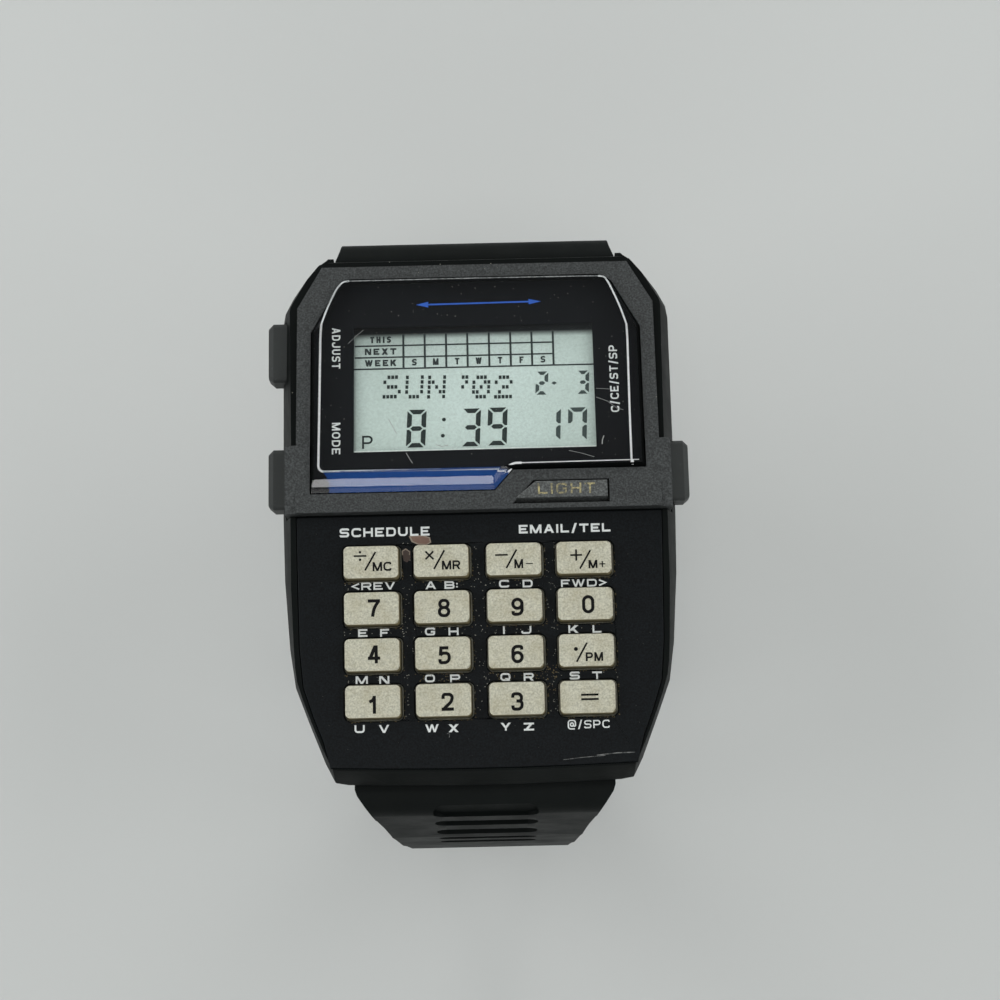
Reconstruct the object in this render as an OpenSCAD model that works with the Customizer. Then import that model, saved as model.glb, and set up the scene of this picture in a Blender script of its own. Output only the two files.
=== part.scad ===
// Digital wrist watch with a sixteen-key calculator pad, resin case and resin strap, unbuckled.
// X runs from 9 to 3 o'clock, Y from 6 to 12 o'clock and Z out of the dial.
// The zero point is the middle of the case back's outer face.

/* [Case] */
// Distance from the case's side to the room for the module
case_wall = 5.25; // [5:0.05:6]
// Distance from the case's end to the keys
end_wall = 5.86; // [5.7:0.02:6.6]
// Height of the shoulder, where the case is widest
shoulder_z = 5.5; // [5.3:0.1:5.8]
// Distance from the case's end to the room for the module
cavity_end = 5.8; // [5.6:0.05:5.9]
// Height of the case rim beside the bar
rim_z = 9.4; // [9.3:0.1:9.6]
// Slope of the keypad, down towards 6 o'clock
key_slope = 4; // [3.6:0.1:4.2]
// Slope of the display, down towards 12 o'clock
display_slope = 5; // [4.6:0.1:5.2]
// Thickness of the case back
back_t = 0.8; // [0.7:0.05:0.9]
// Shank diameter of the case back screws
screw_d = 1.4; // [1.2:0.05:1.5]
// Radius of a case back screw's head
screw_head_r = 1; // [0.9:0.02:1.04]

/* [Bezel and crystal] */
// Distance from the case's side to the display frame
case_rim = 1.7; // [1.6:0.05:1.9]
// Distance from the case's side to the end of the cross bar
bar_step = 0.65; // [0.5:0.05:0.75]
// Length of the cross bar along the watch
bar_l = 6.7; // [6.5:0.05:6.8]
// Height of the display frame's top beside the bar
frame_z = 10; // [9.9:0.05:10.2]
// Height of the cross bar's top
bar_z = 10.3; // [10.25:0.05:10.5]
// Thickness of the bezel over the case deck
bezel_t = 1.5; // [1.4:0.05:1.6]
// Width of the display frame's rim beside the crystal
frame_rim = 1.35; // [1.25:0.05:1.5]
// Height of the crystal above the display frame
crystal_proud = 0.55; // [0.4:0.05:0.7]
// Width of the bevel round the crystal
crystal_bevel = 0.6; // [0.4:0.05:0.8]
// Thickness of the deck under the crystal
deck_t = 0.6; // [0.5:0.05:0.65]

/* [Keypad] */
// Width of a key
key_w = 5.3; // [5.1:0.05:5.4]
// Length of a key along the watch
key_l = 3.2; // [3.1:0.05:3.25]
// Space between key columns
key_space_x = 1.37; // [1.2:0.01:1.5]
// Extra distance between the two middle columns
key_middle = 0.23; // [0.1:0.01:0.3]
// Space between key rows
key_space_y = 1.19; // [1.1:0.01:1.3]
// Space between the cross bar and the first row of keys
key_first_gap = 3.17; // [3:0.01:3.4]
// Space between the keys' flanges and the case's inner walls
key_side = 0.83; // [0.7:0.01:1]
// Height of a key above the panel
key_rise = 0.85; // [0.75:0.05:1]
// Travel of a key
key_travel = 0.35; // [0.25:0.05:0.35]
// Clearance round a key
key_gap = 0.15; // [0.1:0.01:0.18]
// Corner radius of a key
key_r = 0.45; // [0.3:0.05:0.6]
// Width of the flange that holds a key in
key_flange = 0.3; // [0.25:0.01:0.34]
// Thickness of the key panel
panel_t = 1; // [0.9:0.05:1.1]

/* [Pushers and light button] */
// Length of a pusher's cap along the case
pusher_l = 6; // [5.6:0.1:6.2]
// Height of a pusher's cap
pusher_h = 3; // [2.8:0.1:3.2]
// Distance that a pusher stands out of the case
pusher_out = 1.35; // [1.2:0.05:1.5]
// Travel of a pusher
pusher_travel = 0.7; // [0.5:0.05:0.7]
// Diameter of a pusher's stem
stem_d = 1.2; // [1.1:0.05:1.3]
// Radial clearance of a stem in its bore
stem_gap = 0.05; // [0.03:0.01:0.08]
// Length of the light button along the watch
light_l = 2.1; // [1.9:0.05:2.2]
// Travel of the light button
light_travel = 0.5; // [0.3:0.05:0.5]
// Height of the light button above the bar
light_rise = 0.3; // [0.2:0.05:0.5]

/* [Strap] */
// Distance from the case's side to the buckle half's side
strap_side = 5.05; // [5:0.05:5.3]
// Distance from the case's side to the holed half's side
strap_low_side = 6.65; // [6.5:0.05:7]
// Width of the strap from below the taper to its ends
strap_tip_w = 18; // [17.6:0.1:18.4]
// Thickness of the strap
strap_t = 2.6; // [2.4:0.05:2.7]
// Radius of the strap's knuckle round its spring bar
knuckle_r = 1.9; // [1.8:0.02:1.94]
// Diameter of a spring bar
spring_bar_d = 1.5; // [1.4:0.05:1.6]
// Straight run of the buckle half beside the wrist
short_side = 7; // [6:0.5:8]
// Straight run of the buckle half under the wrist
short_under = 25; // [24.5:0.1:26]
// Straight run of the holed half beside the wrist
long_side = 16; // [15.5:0.5:18]
// Run of the holed half that curls up at its end
long_curl = 22; // [20:0.5:24]
// Number of holes for the tongue
hole_count = 9; // [6:1:10]
// Distance between the holes
hole_pitch = 5.5; // [5:0.1:5.6]
// Width of a decorative groove
groove_w = 2.4; // [2:0.1:2.6]
// Depth of a decorative groove
groove_depth = 0.6; // [0.4:0.05:0.8]

/* [Buckle and keepers] */
// Width of the buckle frame
buckle_w = 22.8; // [22.6:0.1:23.4]
// Distance from the buckle's pin to its far bar
buckle_l = 9.5; // [9:0.1:9.8]
// Thickness of the buckle frame
buckle_t = 1.8; // [1.6:0.1:2]
// Diameter of the buckle's pin
buckle_pin_d = 1.5; // [1.4:0.05:1.6]
// Width of the tongue
tongue_w = 2.2; // [1.8:0.1:2.4]
// Wall of a keeper
keeper_t = 1.2; // [1:0.05:1.3]
// Width of a keeper along the strap
keeper_l = 4; // [3.4:0.1:4.4]

/* [Module] */
// Thickness of a circuit board
board_t = 0.8; // [0.6:0.05:0.85]
// Height of the main board's upper face
board_z = 4; // [3.95:0.01:4.05]
// Space beside the main board and the display glass
module_side = 1.5; // [1.45:0.01:1.6]
// Diameter of the battery
battery_d = 20; // [18:0.1:20]
// Thickness of the battery
battery_t = 1.6; // [1.4:0.05:1.65]

/* [Hidden] */

KEY_NAMES = ["key_divide", "key_multiply", "key_minus", "key_plus", "key_7", "key_8", "key_9",
    "key_0", "key_4", "key_5", "key_6", "key_point", "key_1", "key_2", "key_3", "key_equals"];
key_columns = 4;
key_rows = 4;

resin = "#1c1d1f";
bezel_grey = "#2a2b2d";
panel_blue = "#14181f";
key_beige = "#c9c3b0";
steel = "silver";

fine = 48;
seat_gap = 0.05;
far = 80;

// Case levels and half sizes
case_base_z = 0.4;
key_pitch_x = key_w + key_space_x;
key_pitch_y = key_l + key_space_y;
key_field_w = (key_columns - 1) * key_pitch_x + key_middle + key_w + 2 * key_flange;
key_end = key_first_gap + (key_rows - 1) * key_pitch_y + key_l;
cavity_w = key_field_w + 2 * key_side;
case_w = cavity_w + 2 * case_wall;
bar_w = case_w - 2 * bar_step;
frame_w = case_w - 2 * case_rim;
crystal_w = frame_w - 2 * frame_rim;
strap_w = case_w - 2 * strap_side;
strap_low_w = case_w - 2 * strap_low_side;
module_w = cavity_w - 2 * module_side;
bar_end = bar_l * 0.91;
seam_y = bar_end - bar_l;
side_x = case_w / 2;
end_y = key_end + end_wall - seam_y;
case_l = 2 * end_y;
cavity_l = case_l - 2 * cavity_end;
base_inset = 1.35;
end_bow = 0.28;
top_inset = 1.45;
top_z = frame_z - 0.1;
bezel_lip = 1;
deck_level = -bezel_t;
strap_gap = 0.25;
bar_axis_y = end_y - 2;
bar_axis_z = 2.1;
pocket_y = bar_axis_y - knuckle_r - 0.3;
pocket_roof_z = bar_axis_z + knuckle_r + 0.3;

// Panel, keys, membrane and board levels, below the panel's upper face
flange_t = 0.5;
membrane_t = 0.4;
dome_h = 0.5;
flange_low = panel_t + flange_t;
dome_top = flange_low + key_travel + 0.03;
membrane_low = dome_top + dome_h + membrane_t;
key_board_t = 0.6;
key_board_low = membrane_low + key_board_t;
key_centre_x = -0.17;
key_first_y = -key_first_gap - key_l / 2;
membrane_w = cavity_w - 0.4;
membrane_top_y = -1.95;
membrane_l = key_end + 0.81 + membrane_top_y;

// Pushers, as [side, distance from the case's middle]
pusher_adjust_at = [-1, 16.35];
pusher_mode_at = [-1, 3.55];
pusher_clear_at = [1, 3.6];
pusher_cap_t = 2.5;
pusher_cap_x = side_x + pusher_out;
pusher_pocket_x = pusher_cap_x - pusher_cap_t - pusher_travel - 0.3;
spring_seat_x = pusher_pocket_x - 1.4;
spring_r = 0.95;
spring_wire = 0.22;
clip_t = 0.25;
clip_r = 1.3;
clip_x = cavity_w / 2 - seat_gap - clip_t;
stem_end_x = clip_x - 0.15;

// Light button
light_y = seam_y + 0.6;
light_right = crystal_w / 2 - 3.7;
light_points = [[light_right - 9, light_y], [light_right, light_y], [light_right, light_y + light_l],
    [light_right - 7.1, light_y + light_l]];
light_stem = [light_right - 4, light_y + light_l / 2];
light_flange_t = 0.5;
light_flange_z = 8.2;
light_pocket_z = 6.9;
rib_low_z = 6.3;
rib_y = [-2.2, 3.2];
light_contact_t = 0.2;
light_stem_z = board_z + light_contact_t + light_travel + 0.05;

// Display stack, below the display frame's upper face
lcd_top = bezel_t + deck_t + seat_gap;
lcd_t = 1.8;
backlight_t = 0.3;
lcd_y = [4.7 - bar_l, end_y - 13.1];
glass_overlap = 0.3;
backlight_low = lcd_top + lcd_t + backlight_t;

// Strap runs, as [length, turn in degrees]
bend_r = 2.6;
bend_turn = 78;
shoulder_run = [[2.4, 0], [bend_r * bend_turn * PI / 180, -bend_turn], [22, bend_turn - 90]];
short_turn_r = 18;
long_turn_r = 24;
curl_turn = 28;
short_run = concat(shoulder_run, [[short_side, 0], [short_turn_r * PI / 2, -90], [short_under, 0]]);
long_run = concat(shoulder_run,
    [[long_side, 0], [long_turn_r * PI / 2, -90], [6, 0], [long_curl, -curl_turn]]);
root_run = 8;
// How far each half draws in beyond the case's end, as [distance, draw], and then below the case back
upper_plan = [[0.6, 0], [1.1, 0.2], [1.8, 0.42], [2.9, 0.6], [3.35, 0.65]];
lower_plan = [[0.4, 0], [1, 0.2], [2.06, 0.9], [2.94, 1.53], [3.35, 1.8]];
taper = [[0, 0], [-4, 0.32], [-8, 0.55], [-12, 0.7], [-16, 0.79], [-20, 0.88], [-24, 1]];
groove_count = 5;
groove_upper = 9.9;
groove_lower = 5.4;
groove_pitch = 4.5;
groove_half = [5.1, 5];
eye_r = 1.6;
hole_d = 2.4;
hole_last = 14;

// Buckle
buckle_at = walk(short_run, total(short_run), [bar_axis_y, bar_axis_z + knuckle_r]);
pin_y = buckle_at[0][0];
pin_z = buckle_at[0][1] + eye_r;
tail_room = strap_t + 0.4;
keeper_gap = 0.2;
keeper_fixed_y = 0.3;
keeper_sliding_y = 7.8;
tongue_slot = 3.2;
tongue_slot_end = 4.2;
tongue_r = 1.45;
tongue_t = 1.1;
arm_x = strap_tip_w / 2 + 0.5;

// Module
board_low_z = board_z - board_t;
battery_at = [2, cavity_l / 2 - battery_d / 2 - 0.7];
chip_y = battery_at[1] - battery_d / 2 - 3.5;
battery_low_z = board_low_z - 0.2 - battery_t;
clip_sheet = 0.2;
buzzer_at = [0, -12];
buzzer_t = 0.2;

// The points of a right-hand outline followed by their mirror images
function both(right) = concat(right, [for (i = [len(right) - 1 : -1 : 0]) [-right[i][0], right[i][1]]]);

// Where a run leads: [point, heading] after a length with a steady turn
function step(p, a, s, turn) = abs(turn) < 0.001
    ? [p + s * [cos(a), sin(a)], a]
    : let (r = s / (turn * PI / 180))
      [p + r * [sin(a + turn) - sin(a), cos(a) - cos(a + turn)], a + turn];
function walk(run, s, p, a = 0, i = 0) = let (whole = run[i][0], turn = run[i][1])
    s <= whole || i == len(run) - 1
    ? step(p, a, s, turn * s / whole)
    : let (next = step(p, a, whole, turn)) walk(run, s - whole, next[0], next[1], i + 1);
function total(run, i = 0) = i == len(run) ? 0 : run[i][0] + total(run, i + 1);
// Distances at which a run gets a point, closer where it turns
function stops(run, i = 0, done = 0) = i == len(run)
    ? [done]
    : let (n = max(1, ceil(abs(run[i][1]) / 6)))
      concat([for (k = [0 : n - 1]) done + run[i][0] * k / n], stops(run, i + 1, done + run[i][0]));

// Outlines of the case, right-hand side from 6 to 12 o'clock
function widest() = both([
    [3.5, 0.05 - end_y - end_bow], [9, 0.05 - end_y - end_bow * 0.6], [side_x - 6.1, 0.05 - end_y],
    [side_x - 4.95, 0.25 - end_y], [side_x - 4.05, 2 - end_y], [side_x - 2.45, 6 - end_y],
    [side_x - 1.2, 9.3 - end_y], [side_x - 0.65, 13 - end_y], [side_x - 0.15, -6.3], [side_x, -0.3],
    [side_x, end_y - 6.5], [side_x - 0.2, end_y - 5.3], [side_x - 1, end_y - 3.75],
    [side_x - 3.05, end_y - 1.2], [side_x - 3.75, end_y - 0.4], [side_x - 5.25, end_y]]);
function base() = both([
    [side_x - 5.3, 1.2 - end_y], [side_x - 3.15, 8.5 - end_y], [side_x - 1.55, -8],
    [side_x - base_inset, 0], [side_x - base_inset, end_y - 8.5], [side_x - 2.45, end_y - 4.2],
    [side_x - 4.45, end_y - 0.9]]);
function crown() = both([
    [3.5, 2.4 - end_y - end_bow], [9, 2.4 - end_y - end_bow * 0.6], [side_x - 4.85, 2.4 - end_y],
    [side_x - 3.75, 4.7 - end_y], [side_x - 2.75, 7 - end_y], [side_x - 1.85, 9.8 - end_y],
    [side_x - 1.4, -8], [side_x - 1.25, -0.6],
    [side_x - top_inset, end_y - 5.6], [side_x - 3.85, end_y - 1.55]]);
// Outlines in the keypad's and the display's own planes
function panel_right(grow = 0) = [
    [side_x - 4.55 + grow, 2.5 - end_y], [side_x - 4 + grow, 4.5 - end_y],
    [side_x - 3.1 + grow, 6.8 - end_y], [side_x - 2.18 + grow, 9.6 - end_y],
    [side_x - 1.85 + grow, -12.6], [side_x - 1.75 + grow, -7], [side_x - 1.65 + grow, grow - 0.15]];
function panel_outline(grow = 0) = both(concat([[3.5, 2 - end_y - end_bow - grow],
    [9, 2 - end_y - end_bow * 0.6 - grow], [side_x - 4.65 + grow, 2 - end_y - grow]], panel_right(grow)));
function frame_outline(grow = 0) = both([
    [frame_w / 2 + grow, -bar_l], [frame_w / 2 + grow, end_y - 11.8],
    [frame_w / 2 - 2.4 + grow, end_y - 7.5 + grow]]);
function crystal_outline(in = 0) = let (half = crystal_w / 2, low = 1.83 - bar_l, high = end_y - 8.8) [
    [in - half, low + in], [1.6 - in, low + in], [3.35 - in / 2, low + 2.01 + in],
    [half - in, low + 2.01 + in], [half - in, high - 5.6 - in / 2],
    [half - 2.65 - in * 0.8, high - 0.7 - in * 0.7], [half - 3.75 - in / 2, high - in],
    [3.75 - half + in / 2, high - in], [2.65 - half + in * 0.8, high - 0.7 - in * 0.7],
    [in - half, high - 5.6 - in / 2]];
function back_right() = [
    [side_x - 6.55, 5 - end_y], [side_x - 4.15, 9 - end_y], [side_x - 2.35, -10],
    [side_x - 2.35, end_y - 10], [side_x - 3.95, end_y - 6.7], [side_x - 6.15, end_y - 5]];

module at_keypad() {
    translate([0, seam_y, rim_z])
        rotate([key_slope, 0, 0])
            children();
}

module at_display() {
    translate([0, bar_end, frame_z])
        rotate([-display_slope, 0, 0])
            children();
}

module slab(points, z, t) {
    translate([0, 0, z])
        linear_extrude(t)
            polygon(points);
}

module box(low, high) {
    translate(low)
        cube(high - low);
}

// A rectangle with round corners, about its middle
module round_rect(w, l, r) {
    square([w - 2 * r, l], center = true);
    square([w, l - 2 * r], center = true);
    for (x = [-1, 1], y = [-1, 1])
        translate([x * (w / 2 - r), y * (l / 2 - r)])
            circle(r, $fn = fine);
}

// A round wire wound along Z, with flat ends
module coil(r, wire, height, turns) {
    rings_per_turn = 10;
    sides = 6;
    rings = turns * rings_per_turn;
    lift = height - 2 * wire;
    points = [for (i = [0 : rings], k = [0 : sides - 1])
        let (t = 360 * i / rings_per_turn, c = 360 * k / sides)
        [(r + wire * cos(c)) * cos(t), (r + wire * cos(c)) * sin(t),
         wire + lift * i / rings + wire * sin(c)]];
    walls = [for (i = [0 : rings - 1], k = [0 : sides - 1])
        let (a = i * sides + k, b = i * sides + (k + 1) % sides)
        each [[a, a + sides, b], [b, a + sides, b + sides]]];
    first = [for (k = [0 : sides - 1]) k];
    last = [for (k = [sides - 1 : -1 : 0]) rings * sides + k];
    polyhedron(points, concat(walls, [first, last]), convexity = 6);
}

function key_place(i) = let (column = i % key_columns, row = floor(i / key_columns))
    [key_centre_x + (column - (key_columns - 1) / 2) * key_pitch_x
        + (column < key_columns / 2 ? -1 : 1) * key_middle / 2,
     key_first_y - row * key_pitch_y];

module at_pusher(at, x) {
    translate([at[0] * x, at[1], shoulder_z])
        rotate([0, at[0] * 90, 0])
            children();
}

module case_body() {
    color(resin)
        difference() {
            union() {
                hull() {
                    slab(base(), case_base_z, 0.1);
                    slab(widest(), shoulder_z - 1.3, 1.3);
                    slab(crown(), top_z - 0.1, 0.1);
                }
                strap_horns();
            }
            // top faces of the keypad and the display side
            at_keypad() box([-far, -far, 0], [far, 0, far]);
            at_display() box([-far, -bar_l - 1, bezel_lip - bezel_t], [far, far, far]);
            // seats of the key panel and the bezel
            at_keypad() slab(panel_outline(seat_gap), -panel_t, far);
            at_display() slab(frame_outline(seat_gap), deck_level, far);
            for (side = [-1, 1])
                box([side > 0 ? frame_w / 2 - 0.9 : -far, seam_y - seat_gap, bar_seat_z()],
                    [side > 0 ? far : 0.9 - frame_w / 2, bar_end + seat_gap, far]);
            box([-far, seam_y - 0.15, rim_z - 0.28], [far, seam_y + 0.6, far]);
            cavity();
            // window for the display glass
            at_display() box([glass_overlap - module_w / 2, lcd_y[0] + glass_overlap, -far],
                [module_w / 2 - glass_overlap, lcd_y[1] - glass_overlap, far]);
            light_room();
            case_back_room();
            strap_rooms();
            for (at = [pusher_adjust_at, pusher_mode_at, pusher_clear_at])
                pusher_room(at);
        }
}

function bar_seat_z() = bar_z - 3.3;

// Room for the module, under the panel, the rib and the display deck
module cavity() {
    half_w = cavity_w / 2;
    half_l = cavity_l / 2;
    box([-half_w, -half_l, -1], [half_w, half_l, 2.6]);
    box([-half_w, -half_l, 2], [half_w, half_l, rib_low_z]);
    difference() {
        union() {
            box([-half_w, 0.7 - pocket_y, 2.6], [half_w, rib_y[0], far]);
            box([-half_w, rib_y[1], 2.6], [half_w, half_l, far]);
        }
        at_display() box([-far, -bar_l + 2.3, -bezel_t - deck_t], [far, far, far]);
    }
}

module light_room() {
    translate([0, 0, light_pocket_z])
        linear_extrude(far)
            light_outline(key_flange + 0.2);
    translate([light_stem[0], light_stem[1], rib_low_z - 1])
        cylinder(r = stem_d / 2 + stem_gap, h = far, $fn = fine);
}

module light_outline(grow) {
    p = light_points;
    polygon([[p[0][0] - 1.8 * grow, p[0][1] - grow], [p[1][0] + grow, p[1][1] - grow],
        [p[2][0] + grow, p[2][1] + grow], [p[3][0] - 0.5 * grow, p[3][1] + grow]]);
}

function back_screws() = [for (x = [-1, 1], y = [-10, 10]) [x * (side_x - 3.55), y]];

module case_back_room() {
    slab([for (p = both(back_right())) p + 0.1 * [sign(p[0]), sign(p[1])]], -1, 1 + back_t);
    for (p = back_screws())
        translate([p[0], p[1], 0])
            cylinder(d = screw_d + 0.04, h = 3.6, $fn = fine);
    translate([0, 0, back_t])
        gasket(0.02, 0.5);
}

module gasket(grow, t) {
    mid_w = cavity_w + 0.9;
    mid_l = cavity_l + 0.9;
    wide = 0.6;
    translate([0, 0, -0.01 * sign(grow)])
        linear_extrude(t)
            difference() {
                round_rect(mid_w + wide + grow, mid_l + wide + grow, 1);
                round_rect(mid_w - wide - grow, mid_l - wide - grow, 0.7);
            }
}

// The points beside the upper strap, which reach past the case's end
module strap_horns() {
    for (side = [-1, 1])
        slab([for (p = [[-0.25, -1.5], [1.9, -1.5], [1.15, -0.45], [0.5, 0], [0.3, 0.2], [-0.25, 0.2]])
            [side * (room_x(1) + p[0]), end_y + p[1]]], 2.6, 3.4);
}

function half_width(side) = (side > 0 ? strap_w : strap_low_w) / 2;
function room_x(side) = half_width(side) + strap_gap;

module strap_rooms() {
    for (side = [-1, 1]) {
        low = min(side * pocket_y, side * far);
        box([-room_x(side), low, -1], [room_x(side), low + far - pocket_y, pocket_roof_z]);
        translate([0, side * bar_axis_y, bar_axis_z])
            rotate([0, 90, 0])
                cylinder(r = 0.55, h = 2 * room_x(side) + 1.7, center = true, $fn = fine);
    }
}

module pusher_room(at) {
    at_pusher(at, pusher_pocket_x)
        linear_extrude(far)
            round_rect(pusher_h + 0.3, pusher_l + 0.3, 0.6);
    at_pusher(at, 0)
        cylinder(r = stem_d / 2 + stem_gap, h = far, $fn = fine);
    at_pusher(at, spring_seat_x)
        cylinder(r = spring_r + spring_wire + 0.1, h = far, $fn = fine);
    // room for the clip
    at_pusher(at, stem_end_x - pusher_travel - 0.2)
        cylinder(r = clip_r + 0.2, h = cavity_w / 2 - stem_end_x + pusher_travel + 0.2, $fn = fine);
}

module case_back() {
    color(steel)
        difference() {
            slab(both(back_right()), 0, back_t);
            for (p = back_screws())
                translate([p[0], p[1], -1]) {
                    cylinder(d = screw_d + 0.2, h = far, $fn = fine);
                    cylinder(r = screw_head_r + 0.08, h = 1.45, $fn = fine);
                }
        }
}

module case_back_screws() {
    color(steel)
        for (p = back_screws())
            translate([p[0], p[1], 0])
                difference() {
                    union() {
                        cylinder(r = screw_head_r, h = 0.45, $fn = fine);
                        cylinder(d = screw_d, h = 3.3, $fn = fine);
                    }
                    for (turn = [0, 90])
                        rotate([0, 0, turn])
                            box([-0.65, -0.13, -1], [0.65, 0.13, 0.25]);
                }
}

module case_back_gasket() {
    color("dimgray")
        translate([0, 0, back_t])
            gasket(0, 0.48);
}

module bezel_frame() {
    color(bezel_grey)
        difference() {
            union() {
                difference() {
                    at_display() slab(frame_outline(), deck_level, bezel_t);
                    box([-far, -far, -far], [far, seam_y, far]);
                }
                difference() {
                    box([-bar_w / 2, seam_y, rim_z - 1], [bar_w / 2, bar_end, bar_z]);
                    at_display() box([-far, -far, -far], [far, far, deck_level]);
                }
                for (side = [-1, 1])
                    box([side > 0 ? frame_w / 2 - 0.85 : -bar_w / 2, seam_y, bar_seat_z()],
                        [side > 0 ? bar_w / 2 : 0.85 - frame_w / 2, bar_end, bar_z]);
            }
            at_display() slab(crystal_outline(), -far, 2 * far);
            slab_hole(light_points, 0.1);
        }
}

module slab_hole(points, grow) {
    translate([0, 0, -far])
        linear_extrude(2 * far)
            light_outline(grow);
}

module crystal() {
    gap = 0.08;
    color("gray", 0.6)
        at_display() {
            slab(crystal_outline(gap), deck_level, bezel_t + crystal_proud - crystal_bevel * 0.8);
            hull_free_bevel(gap);
        }
}

// The crystal's bevelled top, in thin steps that draw in towards its face
module hull_free_bevel(gap) {
    steps = 3;
    rise = crystal_bevel * 0.8 / steps;
    low = crystal_proud - crystal_bevel * 0.8;
    for (i = [0 : steps - 1])
        slab(crystal_outline(gap + crystal_bevel * (i + 0.5) / steps), low + i * rise - 0.01, rise + 0.01);
}

module keypad_panel() {
    color(panel_blue)
        at_keypad()
            difference() {
                slab(panel_outline(), -panel_t, panel_t);
                for (i = [0 : key_rows * key_columns - 1])
                    translate([key_place(i)[0], key_place(i)[1], -far])
                        linear_extrude(2 * far)
                            round_rect(key_w + 2 * key_gap, key_l + 2 * key_gap, key_r + key_gap);
            }
}

module key(i) {
    color(key_beige)
        at_keypad()
            translate([key_place(i)[0], key_place(i)[1], 0]) {
                translate([0, 0, -panel_t - 0.01])
                    linear_extrude(panel_t + key_rise + 0.01)
                        round_rect(key_w, key_l, key_r);
                translate([0, 0, -flange_low])
                    linear_extrude(flange_t)
                        round_rect(key_w + 2 * key_flange, key_l + 2 * key_flange, key_r + key_flange);
            }
}

module keypad_membrane() {
    color("darkgray")
        at_keypad() {
            box([-membrane_w / 2, membrane_top_y - membrane_l, -membrane_low],
                [membrane_w / 2, membrane_top_y, membrane_t - membrane_low]);
            for (i = [0 : key_rows * key_columns - 1])
                translate([key_place(i)[0], key_place(i)[1], -dome_top - dome_h - 0.01])
                    cylinder(r1 = 1.5, r2 = 1.1, h = dome_h + 0.01, $fn = 24);
        }
}

module keypad_board() {
    color("darkgreen")
        at_keypad()
            box([-membrane_w / 2, membrane_top_y - membrane_l, -key_board_low],
                [membrane_w / 2, membrane_top_y, -membrane_low]);
}

module light_button() {
    color(bezel_grey) {
        translate([0, 0, light_flange_z])
            linear_extrude(bar_z + light_rise - light_flange_z)
                light_outline(0);
        translate([0, 0, light_flange_z])
            linear_extrude(light_flange_t)
                light_outline(key_flange);
        translate([light_stem[0], light_stem[1], light_stem_z])
            cylinder(d = stem_d, h = light_flange_z - light_stem_z + 0.1, $fn = fine);
    }
}

module light_spring() {
    color(steel)
        translate([light_stem[0], light_stem[1], light_pocket_z])
            coil(0.8, 0.13, light_flange_z - light_pocket_z, 3);
}

module light_contact() {
    color("gold")
        translate([light_stem[0], light_stem[1], board_z])
            cylinder(r1 = 1.2, r2 = 0.8, h = light_contact_t, $fn = 24);
}

module pusher(at) {
    color(resin) {
        difference() {
            at_pusher(at, stem_end_x)
                cylinder(d = stem_d, h = pusher_cap_x - pusher_cap_t - stem_end_x + 0.5, $fn = fine);
            at_pusher(at, clip_x - 0.01)
                difference() {
                    cylinder(r = 2, h = clip_t + 0.02, $fn = fine);
                    translate([0, 0, -1]) cylinder(r = 0.4, h = 4, $fn = fine);
                }
        }
        at_pusher(at, pusher_cap_x - pusher_cap_t)
            hull() {
                linear_extrude(pusher_cap_t - 0.5)
                    round_rect(pusher_h, pusher_l, 0.5);
                linear_extrude(pusher_cap_t)
                    round_rect(pusher_h - 0.8, pusher_l - 0.8, 0.4);
            }
    }
}

module pusher_clip(at) {
    color(steel)
        at_pusher(at, clip_x)
            difference() {
                cylinder(r = clip_r, h = clip_t, $fn = fine);
                translate([0, 0, -1]) cylinder(r = 0.42, h = 4, $fn = fine);
                box([-0.3, 0, -1], [0.3, 3, 4]);
            }
}

module pusher_spring(at) {
    color(steel)
        at_pusher(at, spring_seat_x)
            coil(spring_r, spring_wire, pusher_cap_x - pusher_cap_t - spring_seat_x, 4);
}

// Leaf springs at the board's edge, which the stems reach at the end of their travel
module contact_springs() {
    leaf_t = 0.15;
    leaf_w = 1.5;
    leaf_x = module_w / 2 + 0.05;
    color(steel)
        for (at = [pusher_adjust_at, pusher_mode_at, pusher_clear_at]) {
            out = at[0];
            box([min(out * leaf_x, out * (leaf_x + leaf_t)), at[1] - leaf_w / 2, board_low_z - leaf_t],
                [max(out * leaf_x, out * (leaf_x + leaf_t)), at[1] + leaf_w / 2, shoulder_z + 0.5]);
            box([min(out * (leaf_x - 1), out * leaf_x), at[1] - leaf_w / 2, board_low_z - leaf_t],
                [max(out * (leaf_x - 1), out * leaf_x), at[1] + leaf_w / 2, board_low_z]);
        }
}

module lcd_panel() {
    color("gray", 0.8)
        at_display() {
            box([-module_w / 2, lcd_y[0] + 0.7, -lcd_top - lcd_t / 2],
                [module_w / 2, lcd_y[1] - 0.1, -lcd_top]);
            box([-module_w / 2, lcd_y[0], -lcd_top - lcd_t],
                [module_w / 2, lcd_y[1], -lcd_top - lcd_t / 2]);
        }
}

module backlight_panel() {
    color("palegreen")
        at_display()
            box([-module_w / 2 + 1, lcd_y[0] + 2.2, -backlight_low],
                [module_w / 2 - 1, lcd_y[1] - 2.2, -lcd_top - lcd_t]);
}

function zebra_y() = [bar_end + lcd_y[0] + 0.9, bar_end + lcd_y[1] - 1.5];

module zebra_strips() {
    color("dimgray")
        difference() {
            for (y = zebra_y())
                box([1 - module_w / 2, y - 0.6, board_z], [module_w / 2 - 1, y + 0.6, frame_z]);
            at_display() box([-far, -far, -lcd_top - lcd_t], [far, far, far]);
        }
}

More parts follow.
